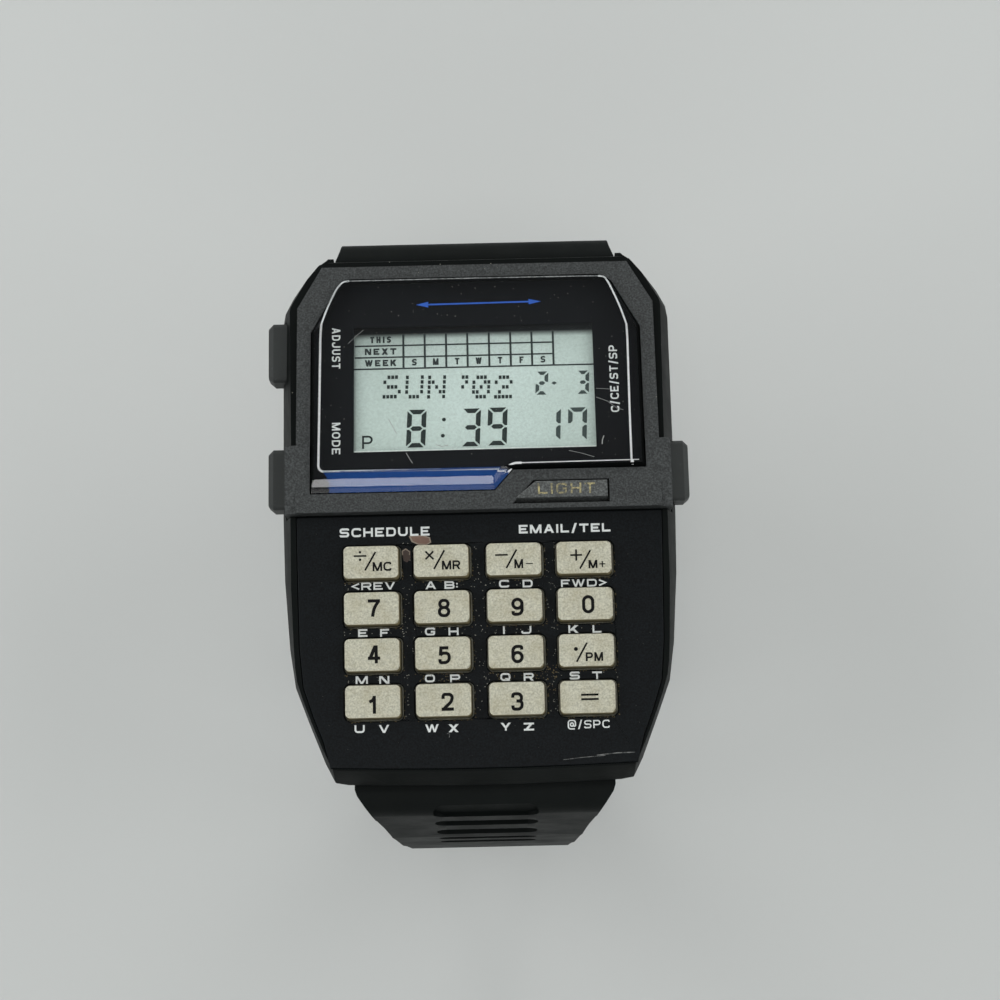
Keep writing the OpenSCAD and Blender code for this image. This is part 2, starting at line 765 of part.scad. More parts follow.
module module_frame() {
    half_w = module_w / 2;
    color("whitesmoke")
        difference() {
            box([-half_w, -cavity_l / 2 - 0.3, board_z], [half_w, cavity_l / 2 - 0.3, frame_z]);
            at_keypad() box([-far, -far, -key_board_low], [far, rib_y[0] - seam_y, far]);
            box([-far, rib_y[0] - 0.4, rib_low_z - 0.1], [far, rib_y[1] + 0.2, far]);
            at_display() box([-far, rib_y[1] - bar_end - 1, -lcd_top], [far, far, far]);
            at_display() box([-far, lcd_y[0] - 0.1, -lcd_top - lcd_t], [far, lcd_y[1] + 0.1, far]);
            at_display()
                box([0.9 - half_w, lcd_y[0] + 2.1, -backlight_low], [half_w - 0.9, lcd_y[1] - 2.1, far]);
            for (y = zebra_y())
                box([0.9 - half_w, y - 0.65, 0], [half_w - 0.9, y + 0.65, far]);
            translate([light_stem[0], light_stem[1], 0])
                cylinder(r = 1.5, h = far, $fn = fine);
        }
}

module circuit_board() {
    color("darkgreen")
        box([-module_w / 2, -cavity_l / 2 + 0.3, board_low_z], [module_w / 2, cavity_l / 2 - 0.3, board_z]);
}

module controller_chip() {
    color("black")
        translate([-8.5, chip_y, board_low_z - 0.9])
            linear_extrude(0.9)
                round_rect(6, 6, 1.5);
}

module quartz_can() {
    color(steel)
        translate([5, chip_y - 1, board_low_z - 0.95])
            rotate([0, 90, 0])
                cylinder(r = 0.9, h = 6, $fn = fine);
}

module battery() {
    color(steel)
        translate([battery_at[0], battery_at[1], battery_low_z]) {
            cylinder(d = battery_d, h = battery_t * 0.7, $fn = 96);
            cylinder(d = battery_d - 2, h = battery_t, $fn = 96);
        }
}

module battery_clip() {
    reach = battery_d / 2 + 0.2;
    low = battery_low_z - clip_sheet;
    color(steel)
        translate([battery_at[0], battery_at[1], 0])
            translate([-2, 0, 0])
                rotate([90, 0, 90])
                    linear_extrude(4)
                        polygon([[-reach - clip_sheet, board_low_z], [-reach - clip_sheet, low],
                            [reach + clip_sheet, low], [reach + clip_sheet, board_low_z],
                            [reach, board_low_z], [reach, low + clip_sheet],
                            [-reach, low + clip_sheet], [-reach, board_low_z]]);
}

module buzzer_disc() {
    color("gold")
        translate([buzzer_at[0], buzzer_at[1], back_t])
            cylinder(d = 12, h = buzzer_t, $fn = 96);
}

module buzzer_spring() {
    color(steel)
        translate([buzzer_at[0], buzzer_at[1], back_t + buzzer_t])
            coil(0.9, 0.15, board_low_z - back_t - buzzer_t, 4);
}

module spring_bar(side) {
    color(steel)
        translate([0, side * bar_axis_y, bar_axis_z])
            rotate([0, 90, 0]) {
                cylinder(d = spring_bar_d, h = 2 * half_width(side), center = true, $fn = fine);
                cylinder(r = 0.5, h = 2 * half_width(side) + 1.9, center = true, $fn = fine);
            }
}

// Side outline of a strap half, drawn along its outer face and back along its inner face
module strap_side(run, end_t) {
    start = [bar_axis_y, bar_axis_z + knuckle_r];
    whole = total(run);
    outer = [for (s = stops(run)) walk(run, s, start)[0]];
    inner = [for (s = stops(run)) if (s >= root_run)
        let (w = walk(run, s, start), t = thickness(s, whole, end_t))
        w[0] + t * [sin(w[1]), -cos(w[1])]];
    polygon(concat(outer, [for (i = [len(inner) - 1 : -1 : 0]) inner[i]],
        [for (a = [270 : -7.5 : 97])
            [bar_axis_y + knuckle_r * cos(a), bar_axis_z + knuckle_r * sin(a)]]));
}

function thickness(s, whole, end_t) = s < 22
    ? strap_t + (3.4 - strap_t) * (22 - s) / (22 - root_run)
    : strap_t + (end_t - strap_t) * (s - 22) / (whole - 22);

// What a half keeps of its side profile: its plan at the case and its front outline below it
module strap_extent(wide, plan) {
    narrow = strap_tip_w / 2;
    root = wide - plan[len(plan) - 1][1];
    linear_extrude(far)
        polygon(both(concat([[wide, 0]], [for (p = plan) [wide - p[1], end_y + p[0]]], [[root, far]])));
    translate([0, far, 0])
        rotate([90, 0, 0])
            linear_extrude(2 * far)
                polygon(both(concat([[narrow, -far]],
                    [for (i = [len(taper) - 1 : -1 : 0])
                        [root - (root - narrow) * taper[i][1], taper[i][0]]],
                    [[root, 1]])));
}

module strap_half(run, end_t, wide, plan, groove_from) {
    difference() {
        intersection() {
            rotate([90, 0, 90])
                translate([0, 0, -wide])
                    linear_extrude(2 * wide)
                        strap_side(run, end_t);
            strap_extent(wide, plan);
        }
        translate([0, bar_axis_y, bar_axis_z])
            rotate([0, 90, 0])
                cylinder(r = spring_bar_d / 2 + seat_gap, h = far, center = true, $fn = fine);
        for (i = [0 : groove_count - 1])
            at_run(run, groove_from + i * groove_pitch) {
                half = groove_half[0] + (groove_half[1] - groove_half[0]) * i / (groove_count - 1);
                translate([0, 0, -groove_depth])
                    linear_extrude(far / 8)
                        round_rect(2 * half, groove_w, groove_w * 0.45);
            }
    }
}

// Puts its children on a strap's outer face, with Y along the run and Z outwards
module at_run(run, s) {
    w = walk(run, s, [bar_axis_y, bar_axis_z + knuckle_r]);
    translate([0, w[0][0], w[0][1]])
        rotate([w[1], 0, 0])
            children();
}

module strap_upper() {
    whole = total(short_run);
    color(resin)
        difference() {
            union() {
                strap_half(short_run, 2 * eye_r * 0.9, strap_w / 2, upper_plan, groove_upper);
                translate([0, pin_y, pin_z])
                    rotate([0, 90, 0])
                        cylinder(r = eye_r, h = strap_tip_w, center = true, $fn = fine);
            }
            translate([0, pin_y, pin_z])
                rotate([0, 90, 0])
                    cylinder(r = buckle_pin_d / 2 + 0.02, h = far, center = true, $fn = fine);
            box([-tongue_slot / 2, pin_y - 3, pin_z - 5],
                [tongue_slot / 2, pin_y + tongue_slot_end, pin_z + 5]);
        }
}

module strap_lower() {
    whole = total(long_run);
    color(resin)
        mirror([0, 1, 0])
            difference() {
                strap_half(long_run, 2.2, strap_low_w / 2, lower_plan, groove_lower);
                for (i = [0 : hole_count - 1])
                    at_run(long_run, whole - hole_last - i * hole_pitch)
                        cylinder(d = hole_d, h = far / 4, center = true, $fn = fine);
                // round end
                at_run(long_run, whole)
                    difference() {
                        box([-far, -strap_tip_w / 2, -10], [far, far, 10]);
                        translate([0, -strap_tip_w / 2, -11])
                            cylinder(d = strap_tip_w, h = 22, $fn = 96);
                    }
            }
}

// A loop round the buckle half, open below it for the holed half
module keeper(y, gap) {
    strap_z = pin_z - eye_r;
    inner_w = strap_tip_w + 2 * gap;
    inner_low = strap_z - tail_room;
    inner_high = strap_z + 2 * eye_r * 0.95 + keeper_gap;
    color(resin)
        translate([0, y + keeper_l / 2, (inner_low + inner_high) / 2])
            rotate([90, 0, 0])
                linear_extrude(keeper_l)
                    difference() {
                        round_rect(inner_w + 2 * keeper_t, inner_high - inner_low + 2 * keeper_t, 1);
                        round_rect(inner_w, inner_high - inner_low, 0.3);
                    }
}

// The buckle hangs from its pin: its far bar is straight below
module buckle_frame() {
    half_w = buckle_w / 2;
    half_t = buckle_t / 2;
    color(steel)
        difference() {
            union() {
                translate([-half_w, pin_y, pin_z])
                    rotate([0, 90, 0])
                        cylinder(r = half_t + 0.5, h = buckle_w, $fn = fine);
                box([-half_w, pin_y - half_t, pin_z - buckle_l], [half_w, pin_y + half_t, pin_z]);
                translate([-half_w, pin_y, pin_z - buckle_l])
                    rotate([0, 90, 0])
                        cylinder(r = half_t, h = buckle_w, $fn = fine);
            }
            box([-arm_x, pin_y - far, pin_z - buckle_l + half_t], [arm_x, pin_y + far, pin_z + far]);
            translate([0, pin_y, pin_z])
                rotate([0, 90, 0])
                    cylinder(r = buckle_pin_d / 2 + seat_gap, h = far, center = true, $fn = fine);
            // notch for the tongue's tip
            box([-tongue_w / 2 - 0.2, pin_y + half_t - 0.6, pin_z - far],
                [tongue_w / 2 + 0.2, pin_y + far, pin_z - buckle_l + half_t + 1]);
        }
}

module buckle_tongue() {
    rest_y = pin_y + buckle_t / 2 - 0.6 + 0.05;
    color(steel)
        translate([-tongue_w / 2, 0, 0])
            rotate([90, 0, 90])
                linear_extrude(tongue_w)
                    difference() {
                        union() {
                            translate([pin_y, pin_z]) circle(tongue_r, $fn = fine);
                            polygon([[pin_y - 0.4, pin_z], [pin_y - 0.4, pin_z - 2],
                                [rest_y, pin_z - buckle_l + 1.6], [rest_y, pin_z - buckle_l - 0.6],
                                [rest_y + tongue_t, pin_z - buckle_l - 0.3],
                                [rest_y + tongue_t, pin_z - buckle_l + 1.2],
                                [pin_y + tongue_r, pin_z - 1.2], [pin_y + tongue_r, pin_z]]);
                        }
                        translate([pin_y, pin_z]) circle(buckle_pin_d / 2 + seat_gap, $fn = fine);
                    }
}

module buckle_pin() {
    color(steel)
        translate([0, pin_y, pin_z])
            rotate([0, 90, 0])
                cylinder(d = buckle_pin_d, h = buckle_w - 0.2, center = true, $fn = fine);
}

case_body();
case_back();
case_back_screws();
case_back_gasket();
bezel_frame();
crystal();
keypad_panel();
for (i = [0 : len(KEY_NAMES) - 1])
    key(i);
keypad_membrane();
keypad_board();
light_button();
light_spring();
light_contact();
pusher(pusher_adjust_at);  // pusher_adjust
pusher(pusher_mode_at);  // pusher_mode
pusher(pusher_clear_at);  // pusher_clear
pusher_clip(pusher_adjust_at);  // pusher_clip_adjust
pusher_clip(pusher_mode_at);  // pusher_clip_mode
pusher_clip(pusher_clear_at);  // pusher_clip_clear
pusher_spring(pusher_adjust_at);  // pusher_spring_adjust
pusher_spring(pusher_mode_at);  // pusher_spring_mode
pusher_spring(pusher_clear_at);  // pusher_spring_clear
contact_springs();
lcd_panel();
backlight_panel();
zebra_strips();
module_frame();
circuit_board();
controller_chip();
quartz_can();
battery();
battery_clip();
buzzer_disc();
buzzer_spring();
spring_bar(1);  // spring_bar_upper
spring_bar(-1);  // spring_bar_lower
strap_upper();
strap_lower();
keeper(keeper_fixed_y, 0);  // keeper_fixed
keeper(keeper_sliding_y, keeper_gap);  // keeper_sliding
buckle_frame();
buckle_tongue();
buckle_pin();
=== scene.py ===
"""Looks for the digital watch with a calculator keypad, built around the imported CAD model."""

import math

import bmesh
import bpy
from mathutils import Matrix, Vector


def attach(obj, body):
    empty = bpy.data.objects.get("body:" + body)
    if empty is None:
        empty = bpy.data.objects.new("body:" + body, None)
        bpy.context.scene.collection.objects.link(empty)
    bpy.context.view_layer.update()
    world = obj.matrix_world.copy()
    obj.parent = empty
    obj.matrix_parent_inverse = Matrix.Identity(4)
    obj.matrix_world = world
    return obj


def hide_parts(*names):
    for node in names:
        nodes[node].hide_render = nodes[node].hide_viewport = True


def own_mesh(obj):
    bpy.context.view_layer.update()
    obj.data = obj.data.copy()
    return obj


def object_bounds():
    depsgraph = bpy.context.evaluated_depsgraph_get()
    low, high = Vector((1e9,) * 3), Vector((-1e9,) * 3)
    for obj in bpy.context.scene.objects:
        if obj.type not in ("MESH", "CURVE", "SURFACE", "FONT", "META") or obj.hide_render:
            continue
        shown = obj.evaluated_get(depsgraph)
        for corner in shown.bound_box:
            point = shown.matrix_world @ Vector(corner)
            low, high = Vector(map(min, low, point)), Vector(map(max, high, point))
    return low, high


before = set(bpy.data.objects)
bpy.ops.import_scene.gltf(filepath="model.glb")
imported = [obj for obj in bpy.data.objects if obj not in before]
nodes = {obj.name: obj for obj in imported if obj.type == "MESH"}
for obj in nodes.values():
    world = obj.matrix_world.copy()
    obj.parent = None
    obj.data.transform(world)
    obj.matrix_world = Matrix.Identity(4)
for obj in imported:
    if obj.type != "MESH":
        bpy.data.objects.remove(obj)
cad_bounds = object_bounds()

MM = 0.001


def plane(y, height, slope):
    """A plane across the watch, sloping by some degrees, whose zero point is at y and at a height."""
    return Matrix.Translation((0, y * MM, height * MM)) @ Matrix.Rotation(math.radians(slope), 4, "X")


# The cross bar, from its seam with the key panel to its far end, and the case's end at 12 o'clock
SEAM_Y = -0.603
BAR_LENGTH = 6.7
BAR_END = SEAM_Y + BAR_LENGTH
CASE_END = 26.003

# The planes of the key panel, the display frame and the light button
KEYPAD = plane(SEAM_Y, 9.4, 4)
DISPLAY = plane(BAR_END, 10, -5)
LEVEL = Matrix.Identity(4)

# Heights in the display's plane: the display glass, the mask, the print on it and the crystal's face
GLASS_Z = -2.15
MASK_Z = -1.42
PRINT_Z = MASK_Z + 0.035
CRYSTAL_Z = 0.55

# The keys, by their middles in the key panel's plane, from 12 to 6 o'clock
KEY_X = [-10.29, -3.62, 3.28, 9.95]
KEY_Y = [-4.77, -9.16, -13.55, -17.94]
KEY_TOP = 0.85
KEY_ROWS = [
    ["key_divide", "key_multiply", "key_minus", "key_plus"],
    ["key_7", "key_8", "key_9", "key_0"],
    ["key_4", "key_5", "key_6", "key_point"],
    ["key_1", "key_2", "key_3", "key_equals"],
]
KEY_PLACES = {key: (x, y) for y, row in zip(KEY_Y, KEY_ROWS) for x, key in zip(KEY_X, row)}

# The light button's face
LIGHT_TOP = 10.6


# Materials


class Nodes:
    """A material's node tree, with short calls for the nodes that are used here."""

    def __init__(self, name):
        self.material = bpy.data.materials.new(name)
        self.material.use_nodes = True
        self.tree = self.material.node_tree
        self.shader = self.tree.nodes["Principled BSDF"]
        self.coords = self.tree.nodes.new("ShaderNodeTexCoord").outputs["Object"]

    def link(self, a, b):
        self.tree.links.new(a, b)

    def noise(self, size, detail=3.0, roughness=0.55, stretch=None):
        """Noise whose cells are about size millimetres wide."""
        node = self.tree.nodes.new("ShaderNodeTexNoise")
        node.inputs["Scale"].default_value = 1 / (size * MM)
        node.inputs["Detail"].default_value = detail
        node.inputs["Roughness"].default_value = roughness
        source = self.coords
        if stretch:
            mapping = self.tree.nodes.new("ShaderNodeMapping")
            mapping.inputs["Scale"].default_value = stretch
            self.link(source, mapping.inputs["Vector"])
            source = mapping.outputs["Vector"]
        self.link(source, node.inputs["Vector"])
        return node.outputs["Fac"]

    def cells(self, size):
        """The distance to the middle of the nearest of some cells, about size millimetres wide."""
        node = self.tree.nodes.new("ShaderNodeTexVoronoi")
        node.inputs["Scale"].default_value = 1 / (size * MM)
        self.link(self.coords, node.inputs["Vector"])
        return node.outputs["Distance"]

    def ramp(self, source, stops):
        """Colours or grey levels, each at its own value of the source."""
        node = self.tree.nodes.new("ShaderNodeValToRGB")
        self.link(source, node.inputs["Fac"])
        elements = node.color_ramp.elements
        while len(elements) < len(stops):
            elements.new(0.5)
        for element, (position, colour) in zip(elements, stops):
            element.position = position
            if not isinstance(colour, tuple):
                colour = (colour, colour, colour)
            element.color = (*colour, 1)
        return node.outputs["Color"]

    def mix(self, factor, a, b):
        """Colour a where the factor is 0 and colour b where it is 1."""
        node = self.tree.nodes.new("ShaderNodeMix")
        node.data_type = "RGBA"
        self.link(factor, node.inputs[0])
        for socket, value in ((node.inputs[6], a), (node.inputs[7], b)):
            if isinstance(value, tuple):
                socket.default_value = (*value, 1)
            else:
                self.link(value, socket)
        return node.outputs[2]

    def bump(self, source, strength, height, before=None):
        """Relief of some height in millimetres, over the relief before it."""
        node = self.tree.nodes.new("ShaderNodeBump")
        node.inputs["Strength"].default_value = strength
        node.inputs["Distance"].default_value = height * MM
        self.link(source, node.inputs["Height"])
        if before is not None:
            self.link(before, node.inputs["Normal"])
        return node.outputs["Normal"]

    def rise(self, axis, low, high):
        """A value that rises from 0 to 1 between two places along an axis, in millimetres."""
        parts = self.tree.nodes.new("ShaderNodeSeparateXYZ")
        self.link(self.coords, parts.inputs[0])
        node = self.tree.nodes.new("ShaderNodeMapRange")
        node.inputs["From Min"].default_value = low * MM
        node.inputs["From Max"].default_value = high * MM
        self.link(parts.outputs[axis], node.inputs["Value"])
        return node.outputs["Result"]

    def set(self, name, value):
        """Sets a socket of the shader to a number or a colour, or links it."""
        socket = self.shader.inputs[name]
        if isinstance(value, (int, float)):
            socket.default_value = value
        elif isinstance(value, tuple):
            socket.default_value = (*value, 1)
        else:
            self.link(value, socket)


def srgb(r, g, b):
    """A display colour, 0 to 255, as the linear colour that Blender wants."""

    def one(v):
        v /= 255
        return v / 12.92 if v <= 0.04045 else ((v + 0.055) / 1.055) ** 2.4

    return one(r), one(g), one(b)


def scaled(colour, factor):
    """A lighter or darker shade of a colour."""
    return tuple(min(1.0, c * factor) for c in colour)


def resin(name, colour, grain=0.22, rough=0.5, depth=0.03, marks=0.35, gloss=0.42):
    """Moulded resin: a fine grain, slightly uneven gloss and faint rub marks."""
    n = Nodes(name)
    cloud = n.noise(9, 4)
    base = n.ramp(cloud, [(0.3, scaled(colour, 0.85)), (0.7, scaled(colour, 1.25))])
    dust = n.ramp(n.noise(0.5, 2, 0.7), [(0.66, 0.0), (0.78, marks)])
    base = n.mix(dust, base, scaled(colour, 3.2))
    n.set("Base Color", base)
    n.set("Roughness", n.ramp(n.noise(4, 5), [(0.25, rough - 0.07), (0.75, rough + 0.1)]))
    grain_normal = n.bump(n.noise(grain, 2, 0.5), 0.5, depth)
    n.set("Normal", n.bump(n.noise(14, 3), 0.15, 0.08, grain_normal))
    n.set("Specular IOR Level", gloss)
    return n.material


def spark_paint(name, colour, depth=0.05, gloss=0.35):
    """Spark-textured plastic, as moulded in an eroded steel tool."""
    n = Nodes(name)
    grain = n.cells(0.24)
    fine = n.noise(0.17, 2)
    shades = [(0.32, scaled(colour, 0.5)), (0.5, scaled(colour, 0.95)), (0.68, scaled(colour, 1.75))]
    tone = n.ramp(fine, shades)
    rub = n.ramp(n.noise(2.5, 6, 0.65), [(0.55, 0.0), (0.8, 0.4)])
    n.set("Base Color", n.mix(rub, tone, scaled(colour, 1.7)))
    n.set("Roughness", n.ramp(fine, [(0.2, 0.42), (0.8, 0.62)]))
    n.set("Normal", n.bump(fine, 0.5, 0.03, n.bump(grain, 0.55, depth)))
    n.set("Specular IOR Level", gloss)
    return n.material


def panel_material():
    """Fine-grained dark plastic with a few pale specks."""
    n = Nodes("panel")
    colour = srgb(9, 13, 15)
    grain = n.noise(0.17, 2, 0.6)
    tone = n.ramp(grain, [(0.35, scaled(colour, 0.5)), (0.7, scaled(colour, 1.9))])
    specks = n.ramp(n.cells(0.9), [(0.0, 1.0), (0.035, 0.0)])
    tone = n.mix(specks, tone, srgb(120, 122, 112))
    n.set("Base Color", tone)
    n.set("Roughness", n.ramp(n.noise(1.2, 4), [(0.3, 0.4), (0.7, 0.55)]))
    n.set("Normal", n.bump(grain, 0.45, 0.03))
    n.set("Specular IOR Level", 0.13)
    return n.material


def key_material(name, colour, dirt):
    """Speckled paint, with dirt in patches: 0.45 is a little and 0.8 is much."""
    n = Nodes(name)
    speck = n.noise(0.18, 2, 0.6)
    tone = n.ramp(speck, [(0.32, scaled(colour, 0.74)), (0.5, colour), (0.68, scaled(colour, 1.24))])
    grime = n.ramp(n.noise(1.4, 4, 0.6), [(0.55 - dirt * 0.3, dirt - 0.45), (0.8, dirt)])
    tone = n.mix(grime, tone, srgb(146, 136, 102))
    n.set("Base Color", tone)
    n.set("Roughness", 0.48)
    n.set("Normal", n.bump(n.noise(0.2, 2), 0.3, 0.02))
    n.set("Specular IOR Level", 0.4)
    return n.material


def ink(name, colour, rough=0.5, wear=0.0, worn=None, gloss=0.5):
    """Printed ink, worn to another colour where it is thin."""
    n = Nodes(name)
    tone = n.ramp(n.noise(0.3, 3), [(0.3, scaled(colour, 0.86)), (0.7, scaled(colour, 1.06))])
    if wear:
        thin = n.ramp(n.noise(0.35, 4, 0.7), [(0.5 - wear * 0.3, 0.0), (0.62, 1.0)])
        tone = n.mix(thin, tone, worn)
    n.set("Base Color", tone)
    n.set("Roughness", rough)
    n.set("Specular IOR Level", gloss)
    return n.material


def display_material():
    """Pale green glass, with painted shadow at its 12 o'clock and left ends, by millimetres along the
    watch's X and Y.
    """
    n = Nodes("display glass")
    cloud = n.noise(12, 2)
    tone = n.ramp(cloud, [(0.3, srgb(190, 207, 199)), (0.7, srgb(202, 219, 213))])
    grain = n.ramp(n.noise(0.22, 2, 0.6), [(0.36, 0.2), (0.6, 0.0)])
    tone = n.mix(grain, tone, srgb(120, 134, 128))
    # Painted shade: the glass darkens towards its 12 o'clock end, under the window's far edge
    tone = n.mix(n.ramp(n.rise("Y", 13.5, 18), [(0.0, 0.0), (1.0, 0.22)]), tone, srgb(104, 112, 106))
    # Painted shadow of the window's left and far edges, dark close to those edges
    edge = srgb(22, 26, 28)
    tone = n.mix(n.rise("X", -11.72, -12.25), tone, edge)
    tone = n.mix(n.rise("Y", 17.2, 17.8), tone, edge)
    n.set("Base Color", tone)
    n.set("Roughness", n.ramp(n.noise(0.2, 2), [(0.3, 0.5), (0.7, 0.62)]))
    n.set("Specular IOR Level", 0.3)
    return n.material


def metal(name, colour, rough, stretch=(1, 1, 1)):
    """Steel or brass, with its grain stretched along the axis that has the smallest number."""
    n = Nodes(name)
    streaks = n.noise(0.12, 3, 0.6, stretch)
    n.set("Base Color", n.ramp(streaks, [(0.3, scaled(colour, 0.85)), (0.7, scaled(colour, 1.1))]))
    n.set("Metallic", 1.0)
    n.set("Roughness", n.ramp(streaks, [(0.3, rough - 0.06), (0.7, rough + 0.08)]))
    n.set("Normal", n.bump(streaks, 0.15, 0.01))
    return n.material


def crystal_material():
    """Clear moulded plastic with fine scratches. Light passes straight through it to what lies below."""
    n = Nodes("crystal clear")
    n.set("Base Color", (0.97, 0.985, 0.98))
    n.set("Roughness", n.ramp(n.noise(1.5, 5, 0.7), [(0.45, 0.015), (0.8, 0.09)]))
    n.set("IOR", 1.49)
    n.set("Transmission Weight", 1.0)
    scratches = n.noise(0.5, 4, 0.75, (1, 0.06, 1))
    n.set("Normal", n.bump(n.ramp(scratches, [(0.62, 0.0), (0.66, 1.0)]), 0.06, 0.003))
    clear = n.tree.nodes.new("ShaderNodeBsdfTransparent")
    paths = n.tree.nodes.new("ShaderNodeLightPath")
    either = n.tree.nodes.new("ShaderNodeMath")
    either.operation = "MAXIMUM"
    n.link(paths.outputs["Is Shadow Ray"], either.inputs[0])
    n.link(paths.outputs["Is Diffuse Ray"], either.inputs[1])
    mix = n.tree.nodes.new("ShaderNodeMixShader")
    n.link(either.outputs[0], mix.inputs[0])
    n.link(n.shader.outputs[0], mix.inputs[1])
    n.link(clear.outputs[0], mix.inputs[2])
    n.link(mix.outputs[0], n.tree.nodes["Material Output"].inputs["Surface"])
    return n.material


CASE = resin("case resin", srgb(8, 12, 11), grain=0.3, rough=0.5, depth=0.02, gloss=0.08)
STRAP = resin("strap resin", srgb(11, 15, 14), grain=0.35, rough=0.55, depth=0.03, gloss=0.1)
PUSHER = resin("pusher resin", srgb(48, 51, 50), grain=0.25, rough=0.5, depth=0.02, gloss=0.3)
BEZEL = spark_paint("bezel spark", srgb(52, 55, 55))
BUTTON = spark_paint("button spark", srgb(76, 79, 78), gloss=0.4)
PANEL = panel_material()
KEY = key_material("key paint", srgb(182, 181, 163), 0.45)
# The keys' sides and rounded edges: a darker, browner paint that is painted shade, with more dirt
KEY_EDGE_SHADE_AND_DIRT = key_material("key edge shade and dirt", srgb(120, 113, 88), 0.8)
KEY_INK = ink("key ink", srgb(9, 9, 9), 0.6, gloss=0.15)
WHITE_INK = ink("white ink", srgb(215, 220, 218), 0.5)
MASK = resin("black mask", srgb(12, 15, 18), grain=0.4, rough=0.6, depth=0.01, marks=0.12, gloss=0.1)
CRYSTAL_EDGE = ink("black crystal edge", srgb(7, 9, 9), 0.6, gloss=0.04)
LINE_INK = ink("line ink", srgb(248, 252, 252), 0.5)
BLUE_INK = ink("blue ink", srgb(20, 62, 124), 0.5, gloss=0.1)
BLUE_MARK = ink("blue mark", srgb(38, 92, 190), 0.4)
GOLD_INK = ink("worn gold ink", srgb(172, 162, 116), 0.5, 0.4, srgb(74, 75, 70))
CHIP = ink("bare brown primer", srgb(112, 87, 74), 0.65)
DARK_CHIP = ink("dark brown primer", srgb(66, 52, 45), 0.65)
CHIP_RIM = ink("worn paint rim", srgb(134, 122, 108), 0.6)
DUST = ink("dust", srgb(148, 148, 138), 0.9)
# Dirt, which along the keys' low and right sides also stands for painted shade
DIRT_AND_SHADE = ink("dirt", srgb(94, 82, 54), 0.9)
SCRATCH = ink("scratch", srgb(150, 152, 150), 0.6)
PANEL_SCRATCH = ink("panel scratch", srgb(112, 114, 112), 0.6, 0.3, srgb(30, 34, 34))
# A painted highlight for the lit low edge of the display window
WINDOW_EDGE_HIGHLIGHT = ink("lit window edge", srgb(216, 226, 220), 0.6)
# A painted highlight of the crystal's bevelled far edge, patchy in places
FAR_EDGE_HIGHLIGHT = ink("far edge painted highlight", srgb(138, 142, 142), 0.5, 0.25, srgb(70, 74, 74))
# The printed line's far corners, brightened as a painted highlight of the crystal's bevelled edge
CORNER_LINE_AND_HIGHLIGHT = ink("corner line ink", srgb(205, 210, 210), 0.5)
DISPLAY_GLASS = display_material()
SEGMENT = ink("display segment", srgb(34, 44, 42), 0.6, gloss=0.2)
SEGMENT_FAINT = ink("faint display segment", srgb(62, 74, 72), 0.6, gloss=0.2)
GRID_INK = ink("display print", srgb(44, 52, 52), 0.6, gloss=0.2)
STEEL = metal("brushed steel", (0.55, 0.55, 0.56), 0.32, (1, 0.05, 1))
BRIGHT = metal("bright steel", (0.62, 0.62, 0.64), 0.2)
BRASS = metal("plated brass", (0.72, 0.55, 0.25), 0.3)
BOARD = ink("solder mask", srgb(22, 84, 50), 0.35)
RUBBER = resin("grey rubber", srgb(120, 121, 122), rough=0.6)
BLACK_RUBBER = resin("black rubber", srgb(30, 30, 30), rough=0.6)
WHITE_PLASTIC = resin("white plastic", srgb(205, 204, 198), rough=0.45)
BACKLIGHT = ink("backlight sheet", srgb(170, 205, 180), 0.5)
CRYSTAL = crystal_material()


# Building


def row_point(place, x, y, z):
    """A point of a plane, in millimetres, as the row frame has it."""
    return place @ Vector((x * MM, y * MM, z * MM))


def made(name, bm):
    """The mesh of a finished edit, which ends the edit."""
    mesh = bpy.data.meshes.new(name)
    bm.to_mesh(mesh)
    bm.free()
    return mesh


def add(name, mesh, material, body):
    """A piece of one material that rides on a body."""
    piece = bpy.data.objects.new(name, mesh)
    bpy.context.scene.collection.objects.link(piece)
    mesh.materials.clear()
    mesh.materials.append(material)
    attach(piece, body)
    return piece


def smooth(mesh, angle=35):
    """Shades a mesh smoothly, but for edges sharper than an angle."""
    for polygon in mesh.polygons:
        polygon.use_smooth = True
    mesh.set_sharp_from_angle(angle=math.radians(angle))


SAME_POINT = 2e-6
FACING_UP = 0.97


def dressed(node, material, body, bevel=0.12, segments=2, angle=25, shape=None, edge=None):
    """A copy of a CAD node's mesh with softened edges, which stands for the node.

    The shape moves the copy's points first, and the edge is a second material for all but the key's face."""
    bm = bmesh.new()
    bm.from_mesh(nodes[node].data)
    bm.transform(nodes[node].matrix_world)
    bmesh.ops.remove_doubles(bm, verts=bm.verts, dist=SAME_POINT)
    if shape:
        for v in bm.verts:
            v.co = shape(v.co)
    mesh = made(node + "_look", bm)
    smooth(mesh)
    piece = add(node + "_look", mesh, material, body)
    if edge:
        mesh.materials.append(edge)
        up = KEYPAD.to_3x3() @ Vector((0, 0, 1))
        for polygon in mesh.polygons:
            polygon.material_index = 1 if polygon.normal.dot(up) < FACING_UP else 0
    if bevel:
        softener = piece.modifiers.new("edges", "BEVEL")
        softener.width = bevel * MM
        softener.segments = segments
        softener.limit_method = "ANGLE"
        softener.angle_limit = math.radians(angle)
        if edge:
            softener.material = 1
        evener = piece.modifiers.new("even shading", "WEIGHTED_NORMAL")
        evener.mode = "FACE_AREA"
        evener.weight = 100
        evener.keep_sharp = True
    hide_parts(node)
    return piece


